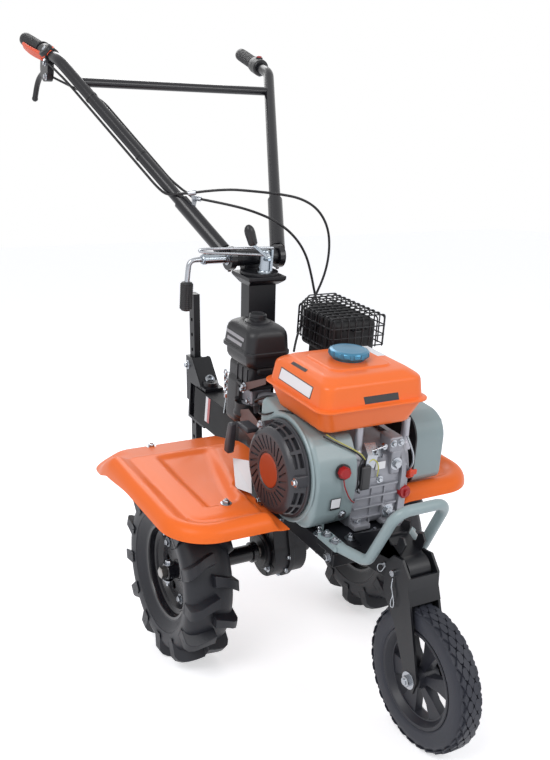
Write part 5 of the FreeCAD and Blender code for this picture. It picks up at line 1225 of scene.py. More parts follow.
plug_orange = finish_of("plug_orange", "orange_paint", (0.66, 0.055, 0.018), 0.4, specular=0.4,
    tone=(0.1, 40.0), gloss_spread=0.1, grain=(500.0, 0.08))
plug_red = finish_of("plug_red", "orange_paint", (0.34, 0.01, 0.012), 0.36, specular=0.45, tone=(0.15, 40.0),
    gloss_spread=0.1, grain=(500.0, 0.08))
assemble([turned([(0, 0), (0, 0.01), (0.01, 0.009), (0.012, 0)], (0.283, 0.128, 0.49), (0.8, 0.2, 0.5), 28),
    block((0.292, 0.121, 0.4925), (0.298, 0.14, 0.5035), 0.0022, 3)], "dipstick_plug", "chassis", plug_orange)
assemble([turned([(0, 0), (0, 0.0115), (0.004, 0.014), (0.013, 0.014), (0.016, 0.012), (0.0165, 0)],
    (0.284, 0.114, 0.456), (1, 0, 0.05), 36), block((0.3, 0.11, 0.449), (0.304, 0.118, 0.463), 0.0016, 2)],
    "oil_filler_plug", "chassis", plug_red)
assemble([block((0.27, 0.0, 0.478), (0.296, 0.024, 0.53), 0.004, 3)], "oil_alarm_box", "chassis", label_black)


def folded_sheet(points, thickness=0.0014):
    """A thin sheet bent through rows of four corners: points come in pairs, one pair for each fold."""
    faces = [(index, index + 1, index + 3, index + 2) for index in range(0, len(points) - 2, 2)]
    return round_edges(walled(wire_piece(points, faces), thickness, 0.0), 0.0005, 2)


assemble([folded_sheet([(0.288, 0.012, 0.528), (0.288, 0.034, 0.52), (0.29, 0.014, 0.552),
    (0.29, 0.04, 0.548), (0.268, 0.018, 0.57), (0.266, 0.048, 0.566)]),
    folded_sheet([(0.289, 0.036, 0.546), (0.281, 0.058, 0.536), (0.283, 0.04, 0.566), (0.276, 0.062, 0.56)]),
    rod((0.282, 0.03, 0.556), (0.295, 0.052, 0.568), 0.0022, 12),
    turned([(0, 0), (0, 0.006), (0.008, 0.006), (0.008, 0)], (0.286, 0.052, 0.566), (1, 0.1, 0), 20)],
    "governor_bracket", "chassis", bright_zinc)
wire_form([(0.286, 0.112, 0.578), (0.293, 0.118, 0.56), (0.298, 0.124, 0.54), (0.298, 0.126, 0.52),
    (0.292, 0.124, 0.505), (0.284, 0.12, 0.497)], 0.0022, "breather_pipe", "chassis")


def blank_sticker(name, corners, material, thickness=0.0004):
    """A plain label or card: four corners in order, standing just off the face behind it."""
    label = walled(wire_piece(corners, [(0, 1, 2, 3)]), thickness, 0.0)
    park(face_outwards(label), name, "chassis", material, slotted=False)


blank_sticker("blank_card", [(0.031, -0.15, 0.465), (0.066, -0.125, 0.469), (0.105, -0.14, 0.412),
    (0.078, -0.165, 0.418)], label_white, thickness=0.0008)
blank_sticker("engine_label", [(0.2885, 0.038, 0.516), (0.2885, 0.062, 0.516), (0.288, 0.062, 0.532),
    (0.288, 0.038, 0.532)], label_white)


def lay_wire(name, route, diameter, material):
    """A thin lead clipped to the engine at both ends, along a route on the level machine."""
    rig.ride(sheathed(name, cable_line(route), diameter, material, "medium", "taut"), "chassis")


lead_yellow = finish_of("lead_yellow", "black_rubber", (0.52, 0.5, 0.1), 0.45, tone=(0.2, 90.0),
    grain=(600.0, 0.05))
lay_wire("alarm_lead", [(0.2865, 0.012, 0.529), (0.287, 0.012, 0.54), (0.288, 0.006, 0.546),
    (0.29, -0.003, 0.54), (0.2955, -0.0085, 0.52), (0.296, -0.0085, 0.495), (0.29, -0.004, 0.475),
    (0.2885, 0.004, 0.47)], 0.003, cable_black)
lay_wire("alarm_lead_striped", [(0.287, 0.018, 0.529), (0.289, 0.02, 0.539), (0.291, 0.03, 0.542),
    (0.292, 0.04, 0.533), (0.292, 0.044, 0.515), (0.2905, 0.042, 0.502)], 0.0024, lead_yellow)

# === Fan cowl ===
# A deep-drawn steel cowl round the flywheel, painted grey-green: a soft-edged case with a raised ring
# where the starter bolts on, and a small lug at its foot. The stop switch sits in its front.
COWL_FACE = -0.11
cowl_outline = [(0.064, 0.617), (0.064, 0.5), (0.074, 0.46), (0.122, 0.396), (0.262, 0.396), (0.288, 0.424),
    (0.2975, 0.5), (0.292, 0.548), (0.262, 0.591), (0.15, 0.604)]
front_outline = [(0.19, 0.399), (0.262, 0.3985), (0.2875, 0.4245), (0.297, 0.5), (0.2915, 0.5475),
    (0.262, 0.5905), (0.19, 0.597)]
cowl_parts = [plate_form(cowl_outline, -0.046, COWL_FACE, 0.016, 0.015, 7),
    plate_form(front_outline, -0.0125, -0.048, 0.01), turned([(0.0, 0.101), (0.0022, 0.103), (0.0034, 0.1065),
    (0.003, 0.11), (0.0, 0.1125)], (CRANK.x, COWL_FACE + 0.0005, CRANK.z), RIGHT, 96),
    block((0.25, -0.066, 0.382), (0.27, -0.061, 0.408), 0.004, 3)]
assemble(cowl_parts, "fan_cowl", "chassis", grey_green, "fan_shroud")
bolt_row("cowl_bolts", "chassis", M6_FLATS, RIGHT, [(0.26, -0.066, 0.392)], 0.005)
bolt_row("cowl_front_bolt", "chassis", M6_FLATS, FORWARD, [(0.2905, -0.036, 0.432)], 0.004)

assemble([turned([(0, 0), (0, 0.0155), (0.003, 0.0165), (0.006, 0.0165), (0.0065, 0)], (0.2945, -0.048, 0.53),
    (1, -0.1, 0.12), 36)], "stop_switch_seat", "chassis", label_black)
assemble([turned([(0, 0), (0, 0.0135), (0.01, 0.013), (0.013, 0.0105), (0.0135, 0)], (0.299, -0.0485, 0.5305),
    (1, -0.1, 0.12), 8), block((0.302, -0.062, 0.528), (0.31, -0.046, 0.535), 0.0025, 3)], "stop_switch_knob",
    "chassis", plug_red)
lay_wire("stop_switch_lead", [(0.301, -0.047, 0.515), (0.3005, -0.044, 0.502), (0.3005, -0.038, 0.488),
    (0.2995, -0.029, 0.472), (0.297, -0.019, 0.46), (0.292, -0.01, 0.454)], 0.0026, plug_red)
blank_sticker("cowl_label_edge", [(0.2952, -0.07, 0.448), (0.2952, -0.046, 0.448), (0.2975, -0.046, 0.474),
    (0.2975, -0.07, 0.474)], label_black)
blank_sticker("cowl_label", [(0.2958, -0.0685, 0.4525), (0.2958, -0.0475, 0.4525), (0.2979, -0.0475, 0.4727),
    (0.2979, -0.0685, 0.4727)], label_white)

lay_wire("ignition_lead", [(0.04, -0.098, 0.576), (0.052, -0.106, 0.575), (0.068, -0.1122, 0.577),
    (0.09, -0.1128, 0.583), (0.108, -0.1124, 0.592), (0.124, -0.107, 0.601), (0.14, -0.096, 0.6085),
    (0.156, -0.084, 0.606)], 0.0036, cable_black)
lay_wire("stop_lead", [(0.262, -0.078, 0.596), (0.268, -0.068, 0.59), (0.274, -0.052, 0.5815),
    (0.28, -0.034, 0.573), (0.286, -0.018, 0.565), (0.289, -0.006, 0.556), (0.288, 0.004, 0.545)], 0.003,
    cable_black)
lay_wire("stop_lead_striped", [(0.26, -0.07, 0.5985), (0.269, -0.056, 0.5885), (0.275, -0.04, 0.58),
    (0.281, -0.024, 0.5715), (0.288, -0.01, 0.563), (0.29, 0.002, 0.554), (0.288, 0.01, 0.543)], 0.0024,
    lead_yellow)

# === Recoil starter ===
# A moulded black housing bolted over the fan: a slotted face round an orange-red disc, and a deep side
# wall with two rows of windows between three lugs. Its T-grip hangs at the rear on the rope.
starter_black = finish_of("starter_housing", "black_plastic", (0.036, 0.036, 0.042), 0.38, specular=0.45,
    tone=(0.3, 20.0), gloss_spread=0.2, grain=(380.0, 0.2))
STARTER_FACE = -0.151
STARTER_SEAT = COWL_FACE - 0.003
starter_centre = Vector((CRANK.x, 0, CRANK.z))


def at_starter(radius, angle, y):
    """A point round the starter's middle: angle 0 is forward, a quarter turn is up."""
    return Vector((CRANK.x + radius * math.cos(angle), y, CRANK.z + radius * math.sin(angle)))


dome = turned([(0.0005, 0.0), (0.0005, 0.101), (-0.001, 0.1024), (-0.004, 0.1024), (-0.0055, 0.1005),
    (-0.0058, 0.097), (-0.0075, 0.096), (-0.028, 0.09), (-0.034, 0.0865), (-0.037, 0.0805), (-0.038, 0.0765),
    (-0.038, 0.039), (-0.0362, 0.0375), (-0.0362, 0.0)], (CRANK.x, STARTER_SEAT, CRANK.z), LEFT, 96)
FACE_SLOTS = 26
slot_pieces = []
for slot in range(FACE_SLOTS):
    turn = slot * math.tau / FACE_SLOTS
    cutter = block((0.043, STARTER_FACE - 0.01, -0.0021), (0.0745, STARTER_FACE + 0.0035, 0.0021), 0.001, 2)
    cutter.data.transform(Matrix.Translation((0.058, 0, 0)) @ Matrix.Rotation(math.radians(-24), 4, "Y")
        @ Matrix.Translation((-0.058, 0, 0)))
    cutter.data.transform(Matrix.Translation(starter_centre) @ Matrix.Rotation(turn, 4, "Y"))
    slot_pieces.append(cutter)
cut_away(dome, bolt_together(slot_pieces))
LUG_ANGLES = [math.radians(angle) for angle in (8, 124, 246)]
window_pieces = []
for sector, lug_angle in enumerate(LUG_ANGLES):
    after = LUG_ANGLES[(sector + 1) % 3] + (math.tau if sector == 2 else 0)
    first, last = lug_angle + math.radians(13), after - math.radians(13)
    count = 4
    for window in range(count):
        turn = first + (window + 0.5) * (last - first) / count
        width = (last - first) / count * 0.4 * 0.092
        for row in (-0.1245, -0.137):
            cutter = block((0.0845, row - 0.0042, -width), (0.1, row + 0.0042, width), 0.0012, 2)
            cutter.data.transform(Matrix.Translation(starter_centre) @ Matrix.Rotation(-turn, 4, "Y"))
            window_pieces.append(cutter)
cut_away(dome, bolt_together(window_pieces))
lugs = []
for lug_angle in LUG_ANGLES:
    lug = block((0.08, -0.144, -0.0125), (0.1005, -0.114, 0.0125), 0.004, 3)
    lug.data.transform(Matrix.Translation(starter_centre) @ Matrix.Rotation(-lug_angle, 4, "Y"))
    lugs.append(lug)
assemble(lugs + [dome], "starter_housing", "chassis", starter_black, "recoil_starter")
bolt_row("starter_bolts", "chassis", M6_FLATS, RIGHT,
    [at_starter(0.0945, angle, -0.1435) for angle in LUG_ANGLES], 0.005)
disc_red = finish_of("starter_disc", "black_plastic", (0.36, 0.05, 0.016), 0.34, specular=0.4,
    tone=(0.15, 30.0), gloss_spread=0.1, grain=(300.0, 0.05))
assemble([turned([(0, 0), (0, 0.0352), (0.0012, 0.0358), (0.0024, 0.0345), (0.003, 0.03), (0.0034, 0.0)],
    (CRANK.x, STARTER_SEAT - 0.0355, CRANK.z), RIGHT, 64)], "starter_disc", "chassis", disc_red)
grip_points = []
for grip_height, half_x, half_y in ((0.48, 0.0075, 0.006), (0.484, 0.0095, 0.008), (0.5, 0.01, 0.0085),
        (0.535, 0.0085, 0.0075), (0.548, 0.0078, 0.007), (0.552, 0.006, 0.0052)):
    shift = (grip_height - 0.48) * 0.12
    for side_x, side_y in ((-1, -1), (1, -1), (1, 1), (-1, 1)):
        grip_points.append((0.042 + shift + side_x * half_x, -0.167 + side_y * half_y, grip_height + 0.006))
starter_grip = skinned(grip_points, 4)
round_edges(starter_grip, 0.0035, 3, 40.0)
smooth(starter_grip, 50.0)
park(starter_grip, "starter_grip", "chassis", starter_black, "recoil_grip")
assemble([turned([(0, 0), (0, 0.007), (0.006, 0.006), (0.006, 0)], (0.0525, -0.1555, 0.5515), (0.3, 0, 1),
    24), block((0.052, -0.158, 0.548), (0.098, -0.128, 0.56), 0.004, 3)], "rope_guide", "chassis",
    starter_black)

# === Fuel tank ===
# Two pressed steel shells welded at a flange, with soft corners, a chamfered crown and a raised pad
# round the filler. Gloss orange, on four pillars, with blank stickers and a scalloped blue cap.
gloss_orange = finish_of("gloss_orange_paint", "orange_paint", (0.88, 0.165, 0.028), 0.34, coat=0.1,
    specular=0.3, tone=(0.05, 5.0), gloss_spread=0.08, grain=(90.0, 0.02))
TANK_X = (0.065, 0.303)
TANK_Y = (-0.113, 0.153)
TANK_TOP = 0.722
FILLER_X, FILLER_Y = 0.184, 0.02
TANK_RING = 13
tank_levels = [(0.606, 0.036, 0.016), (0.6068, 0.029, 0.022), (0.6105, 0.0245, 0.026), (0.616, 0.0225, 0.027),
    (0.65, 0.011, 0.023), (0.6548, 0.01, 0.022), (0.656, 0.0065, 0.025), (0.6562, 0.0012, 0.03),
    (0.6572, 0.0, 0.03), (0.66, 0.0, 0.03), (0.661, 0.0012, 0.03), (0.6614, 0.0065, 0.025),
    (0.6628, 0.0098, 0.023), (0.668, 0.0106, 0.023), (0.698, 0.0142, 0.023), (0.703, 0.0156, 0.024),
    (0.7062, 0.0184, 0.025), (0.709, 0.0222, 0.026), (0.7142, 0.0305, 0.027), (0.7162, 0.034, 0.027),
    (0.7175, 0.039, 0.027), (0.718, 0.046, 0.026), (0.7182, 0.058, 0.022), (0.719, 0.06, 0.021),
    (0.7212, 0.062, 0.02), (0.722, 0.065, 0.018)]


def rounded_ring(x_span, y_span, inset, radius, height):
    """The points of a level rectangle with round corners, TANK_RING to a corner."""
    ring = []
    for corner, (side_x, side_y) in enumerate(((1, 1), (0, 1), (0, 0), (1, 0))):
        x = x_span[side_x] - inset * (1 if side_x else -1)
        y = y_span[side_y] - inset * (1 if side_y else -1)
        middle_x, middle_y = x - radius * (1 if side_x else -1), y - radius * (1 if side_y else -1)
        for step in range(TANK_RING):
            angle = corner * math.pi / 2 + step * math.pi / 2 / (TANK_RING - 1)
            ring.append((middle_x + radius * math.cos(angle), middle_y + radius * math.sin(angle), height))
    return ring


def ringed_shell(x_span, y_span, levels):
    """A closed pressing through rounded rectangles at (height, inset, corner radius)."""
    points = []
    for height, inset, radius in levels:
        points += rounded_ring(x_span, y_span, inset, radius, height)
    return skinned(points, 4 * TANK_RING)


tank = ringed_shell(TANK_X, TANK_Y, tank_levels)
neck = turned([(0.0, 0.0), (0.0, 0.034), (0.003, 0.0335), (0.004, 0.031), (0.004, 0.0)],
    (FILLER_X, FILLER_Y, TANK_TOP - 0.001), UP, 48)
tank = bolt_together([neck, tank])
smooth(tank, 40.0)
park(tank, "fuel_tank_shell", "chassis", gloss_orange, "fuel_tank")
blank_sticker("tank_side_label_edge", [(0.118, -0.1024, 0.6715), (0.241, -0.1024, 0.669),
    (0.245, -0.0992, 0.695), (0.122, -0.0992, 0.6975)], label_black)
blank_sticker("tank_side_label", [(0.1205, -0.1027, 0.6732), (0.2385, -0.1027, 0.6708),
    (0.2425, -0.0997, 0.6932), (0.1245, -0.0997, 0.6957)], label_white)
blank_sticker("tank_crown_label", [(0.143, -0.0908, 0.7097), (0.198, -0.0908, 0.7097),
    (0.198, -0.0848, 0.7137), (0.143, -0.0848, 0.7137)], label_black)
blank_sticker("tank_front_plate", [(0.293, -0.008, 0.665), (0.293, 0.074, 0.665), (0.291, 0.071, 0.68),
    (0.291, -0.012, 0.68)], label_black)
blank_sticker("tank_top_label", [(0.112, 0.094, 0.7184), (0.18, 0.094, 0.7184), (0.18, 0.118, 0.7178),
    (0.112, 0.118, 0.7178)], label_white)

cap_blue = finish_of("cap_blue", "blue_cap", (0.055, 0.21, 0.34), 0.28, metallic=0.55, specular=0.5,
    tone=(0.12, 12.0), gloss_spread=0.1, grain=(500.0, 0.05))
cap = turned([(0.0, 0.0), (0.0, 0.0335), (0.0065, 0.035), (0.0085, 0.0412), (0.0098, 0.042), (0.016, 0.042),
    (0.019, 0.0402), (0.0206, 0.0365), (0.0212, 0.0335), (0.0205, 0.032), (0.0212, 0.025), (0.022, 0.012),
    (0.0222, 0.0)], (FILLER_X, FILLER_Y, TANK_TOP), UP, 96)
SCALLOP_X = FILLER_X + 0.0465
scallop = rod((SCALLOP_X, FILLER_Y, TANK_TOP + 0.004), (SCALLOP_X, FILLER_Y, TANK_TOP + 0.03), 0.0072, 24)
scallops = ring_of(scallop, 12, (FILLER_X, FILLER_Y, 0), UP, first=0.1)
cut_away(cap, bolt_together(scallops))
round_edges(cap, 0.0008, 2, 40.0)
smooth(cap)
park(cap, "filler_cap", "chassis", cap_blue, "fuel_cap")

# === Air filter ===
# A moulded plastic box in two parts: a deep soft-cornered cover with a round knob screwed down on it,
# over a body that steps in and rounds off to the intake elbow. It stands on the carburettor.
moulded_black = finish_of("moulded_black", "black_plastic", (0.0125, 0.0125, 0.015), 0.4, specular=0.4,
    tone=(0.25, 18.0), gloss_spread=0.2, grain=(520.0, 0.3))
FILTER_X = (-0.13, 0.006)
FILTER_Y = (-0.112, -0.002)
FILTER_MIDDLE = Vector((-0.062, -0.057, 0))
cover_shell = ringed_shell(FILTER_X, FILTER_Y, [(0.678, 0.004, 0.018), (0.6784, 0.0006, 0.021),
    (0.6795, 0.0, 0.022), (0.685, 0.0, 0.022), (0.6862, 0.0008, 0.021), (0.6868, 0.0026, 0.02),
    (0.692, 0.0032, 0.02), (0.718, 0.005, 0.021), (0.726, 0.0068, 0.022), (0.732, 0.0102, 0.024),
    (0.7362, 0.0155, 0.027), (0.7386, 0.022, 0.03), (0.7396, 0.03, 0.022), (0.74, 0.042, 0.012)])
body_shell = ringed_shell((-0.123, -0.001), (-0.105, -0.009),
    [(0.64, 0.03, 0.016), (0.6408, 0.024, 0.02), (0.6436, 0.015, 0.022), (0.648, 0.008, 0.022),
    (0.654, 0.003, 0.02), (0.661, 0.0006, 0.019), (0.669, 0.0, 0.019), (0.68, 0.0, 0.019)])
filter_knob = turned([(0.0, 0.0), (0.0, 0.0285), (0.0018, 0.0282), (0.004, 0.0225), (0.005, 0.0185),
    (0.006, 0.0178), (0.0068, 0.019), (0.0105, 0.019), (0.0112, 0.018), (0.012, 0.019), (0.0168, 0.0188),
    (0.0184, 0.0172), (0.0188, 0.0125), (0.0176, 0.0115), (0.0176, 0.0)],
    FILTER_MIDDLE + Vector((0, 0, 0.7392)), UP, 48)
elbow_parts = [block((-0.092, -0.091, 0.6), (-0.018, -0.027, 0.65), 0.012, 4),
    block((-0.096, -0.093, 0.5945), (-0.014, -0.025, 0.6025), 0.003, 2),
    block((-0.112, -0.076, 0.628), (-0.012, -0.038, 0.648), 0.008, 3)]
for rib_x in (-0.078, -0.055, -0.032):
    elbow_parts.append(block((rib_x - 0.0015, -0.093, 0.604), (rib_x + 0.0015, -0.025, 0.64), 0.001, 2))
assemble([cover_shell, body_shell, filter_knob] + elbow_parts, "filter_box", "chassis", moulded_black,
    "air_filter", angle=40.0)
strip_grey = finish_of("strip_grey", None, (0.34, 0.34, 0.36), 0.5, tone=(0.3, 120.0), gloss_spread=0.1,
    grain=(300.0, 0.03))
blank_sticker("filter_strip_upper", [(-0.109, -0.1083, 0.7085), (-0.027, -0.1083, 0.7065),
    (-0.026, -0.1077, 0.714), (-0.108, -0.1077, 0.716)], strip_grey)
blank_sticker("filter_strip_lower", [(-0.102, -0.1092, 0.6945), (-0.034, -0.1092, 0.6935),
    (-0.033, -0.1086, 0.701), (-0.101, -0.1086, 0.702)], strip_grey)
assemble([block((-0.13, -0.094, 0.494), (-0.062, -0.037, 0.612), 0.018, 5),
    block((-0.134, -0.088, 0.584), (-0.03, -0.03, 0.646), 0.016, 5),
    turned([(0, 0), (0, 0.027), (0.004, 0.031), (0.01, 0.031), (0.014, 0.0285), (0.034, 0.0285), (0.034, 0)],
    (-0.062, -0.07, 0.52), UP, 48)], "intake_elbow", "chassis", moulded_black, angle=50.0)

# === Carburettor ===
# A small alloy casting with a round float bowl, clamped between the filter's elbow and the cylinder.
# A brown-coated tin plate shields it, and a strap of the same tin steadies the filter.
carburettor_parts = [block((-0.084, -0.083, 0.558), (-0.022, -0.047, 0.592), 0.005, 3),
    turned([(0, 0), (0, 0.016), (0.003, 0.0195), (0.02, 0.0205), (0.023, 0.0225), (0.027, 0.0225),
    (0.027, 0)], (-0.053, -0.065, 0.53), UP, 40), rod((-0.024, -0.06, 0.572), (0.02, -0.03, 0.58), 0.015, 28,
    0.002), block((-0.03, -0.076, 0.556), (-0.022, -0.034, 0.596), 0.002, 2)]
assemble(carburettor_parts, "carburettor_body", "chassis", cast_alloy, "carburettor")
bolt_row("carburettor_screws", "chassis", 0.008, RIGHT, [(-0.074, -0.083, 0.58), (-0.034, -0.083, 0.566),
    (-0.053, -0.0855, 0.54)], 0.005)
brown_tin = finish_of("brown_tin", "black_paint", (0.105, 0.05, 0.042), 0.42, metallic=0.5, specular=0.4,
    tone=(0.5, 35.0), gloss_spread=0.2, grain=(260.0, 0.15))
assemble([folded_sheet([(-0.052, -0.094, 0.54), (-0.044, -0.094, 0.498), (-0.012, -0.094, 0.556),
    (-0.008, -0.094, 0.494), (0.042, -0.098, 0.546), (0.042, -0.098, 0.488)]),
    folded_sheet([(-0.027, -0.1, 0.593), (-0.023, -0.1, 0.6145), (0.066, -0.1, 0.6405),
    (0.066, -0.1, 0.6545)], 0.002)], "carburettor_shield", "chassis", brown_tin)
bolt_row("shield_bolts", "chassis", 0.009, RIGHT, [(-0.024, -0.1012, 0.606), (-0.029, -0.1012, 0.5975)],
    0.006)
lever_parts = [rod((-0.066, -0.084, 0.586), (-0.066, -0.0925, 0.586), 0.004, 16),
    block((-0.07, -0.0935, 0.56), (-0.062, -0.0905, 0.59), 0.0015, 2),
    turned([(0, 0), (0, 0.0055), (0.004, 0.006), (0.009, 0.0045), (0.01, 0)], (-0.066, -0.0925, 0.5615),
    RIGHT, 20)]
assemble(lever_parts, "choke_lever", "chassis", moulded_black)
lay_wire("fuel_hose", [(0.096, -0.05, 0.607), (0.086, -0.054, 0.6), (0.064, -0.064, 0.604),
    (0.036, -0.076, 0.6), (0.01, -0.084, 0.586), (-0.01, -0.082, 0.572), (-0.021, -0.072, 0.568)], 0.007,
    cable_black)

# === Muffler and its guard ===
# A pressed steel box with deep ribs over its top and side, on a short pipe from the cylinder. A cage
# of black welded wire, bent over at its edges, keeps hands and grass off it.
heat_black = finish_of("heat_black", "black_paint", (0.0085, 0.0085, 0.01), 0.52, specular=0.35,
    tone=(0.5, 30.0), gloss_spread=0.25, grain=(300.0, 0.4))
dress("muffler", "muffler_box", "chassis", heat_black, 0.002)
muffler_ribs = []
for rib in range(10):
    rib_x = -0.0745 + rib * 0.0118
    muffler_ribs.append(block((rib_x - 0.0036, 0.0712, 0.682), (rib_x + 0.0036, 0.178, 0.756), 0.0034, 3))
for louvre in range(7):
    louvre_y = 0.096 + louvre * 0.0125
    muffler_ribs.append(block((0.04, louvre_y, 0.732), (0.0475, louvre_y + 0.0075, 0.7375), 0.0015, 2))
ribs = bolt_together(muffler_ribs)
smooth(ribs, 50.0)
park(ribs, "muffler_ribs", "chassis", heat_black)

GUARD_X = (-0.15, 0.058)
GUARD_Y = (0.06, 0.204)
GUARD_Z = (0.698, 0.766)
GUARD_CUT = 0.0673
GUARD_BEND = 0.016
WIRE_RADIUS = 0.0016


def bent(corners, is_ring=False):
    """A wire's route through corners, with a point GUARD_BEND before and after each bend."""
    points = []
    for index, corner in enumerate(corners):
        if is_ring or 0 < index < len(corners) - 1:
            corner = Vector(corner)
            before, after = Vector(corners[index - 1]), Vector(corners[(index + 1) % len(corners)])
            points += [corner + (before - corner).normalized() * GUARD_BEND, corner,
                corner + (after - corner).normalized() * GUARD_BEND]
        else:
            points.append(corner)
    return points, is_ring


guard_lines = []
x_low, x_high = GUARD_X
y_low, y_high = GUARD_Y
z_low, z_high = GUARD_Z
guard_plan = [(x_low + GUARD_CUT, y_low), (x_high, y_low), (x_high, y_high), (x_low, y_high),
    (x_low, y_low + GUARD_CUT)]
for wire_height in (z_low, z_low + 0.022, z_low + 0.044):
    guard_lines.append(bent([(x, y, wire_height) for x, y in guard_plan], True))
COLUMNS = 10
for column in range(COLUMNS + 1):
    x = x_low + 0.006 + (x_high - x_low - 0.012) * column / COLUMNS
    near = y_low + max(0.0, x_low + GUARD_CUT - x)
    guard_lines.append(bent([(x, near, z_low - 0.003), (x, near, z_high), (x, y_high, z_high),
        (x, y_high, z_low - 0.003)]))
ROWS = 7
for row in range(ROWS + 1):
    y = y_low + 0.006 + (y_high - y_low - 0.012) * row / ROWS
    near = x_low + max(0.0, y_low + GUARD_CUT - y)
    guard_lines.append(bent([(near, y, z_low - 0.003), (near, y, z_high - 0.003), (x_high, y, z_high - 0.003),
        (x_high, y, z_low - 0.003)]))
cage = round_wire("guard_cage", guard_lines, WIRE_RADIUS, resolution=5, sides=2)
tabs = [block((-0.03, y_low - 0.001, 0.73), (-0.012, 0.076, 0.7325), 0.0008, 2),
    block((x_high - 0.016, 0.12, 0.732), (x_high + 0.001, 0.138, 0.7345), 0.0008, 2)]
cage = bolt_together(tabs + [cage])
park(cage, "guard_cage", "chassis", satin_black, "muffler_guard")

# === Belt cover ===
# A deep-drawn steel cover over the two pulleys, painted like the fan cowl, on a black back plate. Its
# nose is rounded, and three bolts hold it from the outside.
belt_outline = [(0.23, 0.431), (0.23, 0.552), (0.2, 0.582), (0.06, 0.588), (-0.13, 0.56), (-0.168, 0.52),
    (-0.168, 0.431)]
back_outline = [(0.236, 0.431), (0.236, 0.556), (0.203, 0.589), (0.06, 0.594), (-0.132, 0.566),
    (-0.174, 0.524), (-0.174, 0.431)]
belt_parts = [plate_form(belt_outline, 0.184, 0.262, 0.026, 0.012, 6),
    plate_form([(0.176, 0.45), (0.196, 0.47), (0.196, 0.53), (0.176, 0.552), (0.05, 0.56), (-0.1, 0.534),
    (-0.13, 0.506), (-0.13, 0.462), (-0.11, 0.45)], 0.255, 0.2665, 0.018, 0.004, 4)]
assemble(belt_parts, "belt_cover_shell", "chassis", grey_green, "belt_cover")
assemble([plate_form(back_outline, 0.1795, 0.1838, 0.03, 0.001, 2)], "belt_cover_back", "chassis",
    satin_black, "belt_back_plate")
bolt_row("belt_cover_bolts", "chassis", M6_FLATS, LEFT, [(0.211, 0.2615, 0.448), (-0.15, 0.2615, 0.448),
    (0.205, 0.2615, 0.545)], 0.005)

# === Post, yoke and depth bar ===
# The handlebar's post is a rectangular steel tube that leans back, with a flared head plate, welded to
# the case. Behind it the yoke's upright pin carries the socket that the drilled depth bar slides in.
dress("handle_post", "handle_post_tube", "chassis", satin_black, 0.0025, 3)
POST_TOP = Vector((-0.1693, 0, 0.812))
flare_points = []
for half_x, half_y, drop in ((0.0435, 0.0475, 0.0005), (0.0405, 0.0445, 0.004), (0.0225, 0.0375, 0.015)):
    for side_x, side_y in ((-1, -1), (1, -1), (1, 1), (-1, 1)):
        flare_points.append(POST_TOP + Vector((side_x * half_x + drop * 0.087, side_y * half_y, -drop)))
assemble([round_edges(face_outwards(skinned(flare_points, 4)), 0.0012, 2)], "post_flare", "chassis",
    satin_black)
# Painted shade: a darker, less glossy copy of the satin black paint, standing for the shadow the yoke lies in.
yoke_black_painted_shade = finish_of("yoke_black_painted_shade", "black_paint", (0.006, 0.006, 0.0072), 0.5, specular=0.18,
    tone=(0.4, 14.0), gloss_spread=0.15, grain=(300.0, 0.15))
dress("hitch_yoke", "hitch_yoke_box", "chassis", yoke_black_painted_shade, 0.0025, 3)
strip_red = finish_of("strip_red", None, (0.52, 0.16, 0.16), 0.5, tone=(0.2, 80.0), grain=(300.0, 0.03))
blank_sticker("yoke_strip_white", [(-0.354, -0.0305, 0.391), (-0.341, -0.0305, 0.391),
    (-0.337, -0.0305, 0.459), (-0.35, -0.0305, 0.459)], label_white)
blank_sticker("yoke_strip_red", [(-0.341, -0.0305, 0.391), (-0.329, -0.0305, 0.391), (-0.325, -0.0305, 0.459),
    (-0.337, -0.0305, 0.459)], strip_red)
dress("bar_holder", "bar_socket", "bar_holder", satin_black, 0.0015)
SOCKET_TOP = Vector((-0.452, 0, 0.53))
SOCKET_FOOT = Vector((-0.386, 0, 0.464))
socket_out = Vector((0.707, -0.08, 0.7))
socket_plates = [block((-0.046, -0.025, -0.002), (0.046, 0.025, 0.002), 0.001, 2),
    plate_form([(-0.466, 0.462), (-0.385, 0.462), (-0.449, 0.528), (-0.466, 0.528)], -0.0268, -0.0232, 0.004),
    plate_form([(-0.466, 0.462), (-0.385, 0.462), (-0.449, 0.528), (-0.466, 0.528)], 0.0232, 0.0268, 0.004)]
socket_plates[0].rotation_euler = (0, math.radians(45.0), 0)
socket_plates[0].location = (SOCKET_TOP + SOCKET_FOOT) / 2
settle(socket_plates[0])
assemble(socket_plates, "socket_wings", "bar_holder", satin_black)
assemble([turned([(0.0, 0), (0.0, 0.0118), (0.001, 0.0124), (0.011, 0.0124), (0.0125, 0.0112),
    (0.0125, 0.0088), (0.005, 0.0084), (0.005, 0)], (-0.403, 0.002, 0.48), socket_out, 48),
    hex_bolt((-0.389, 0, 0.462), UP, 0.022, 0.01)], "yoke_pin_head", "bar_holder", bright_zinc)
bolt_row("socket_bolt", "bar_holder", M8_FLATS, RIGHT, [(-0.474, -0.0268, 0.505)], 0.008)
dress("depth_bar", "depth_bar_flat", "depth_bar", satin_black, 0.0008)
CHAIN_TOP = Vector((-0.269, -0.021, 0.554))
CHAIN_FOOT = Vector((-0.256, -0.022, 0.499))
CHAIN_LINKS = 6
chain_parts = [rod((-0.162, -0.026, 0.562), CHAIN_TOP + Vector((-0.004, 0, 0.001)), 0.0022, 12, 0.0005)]
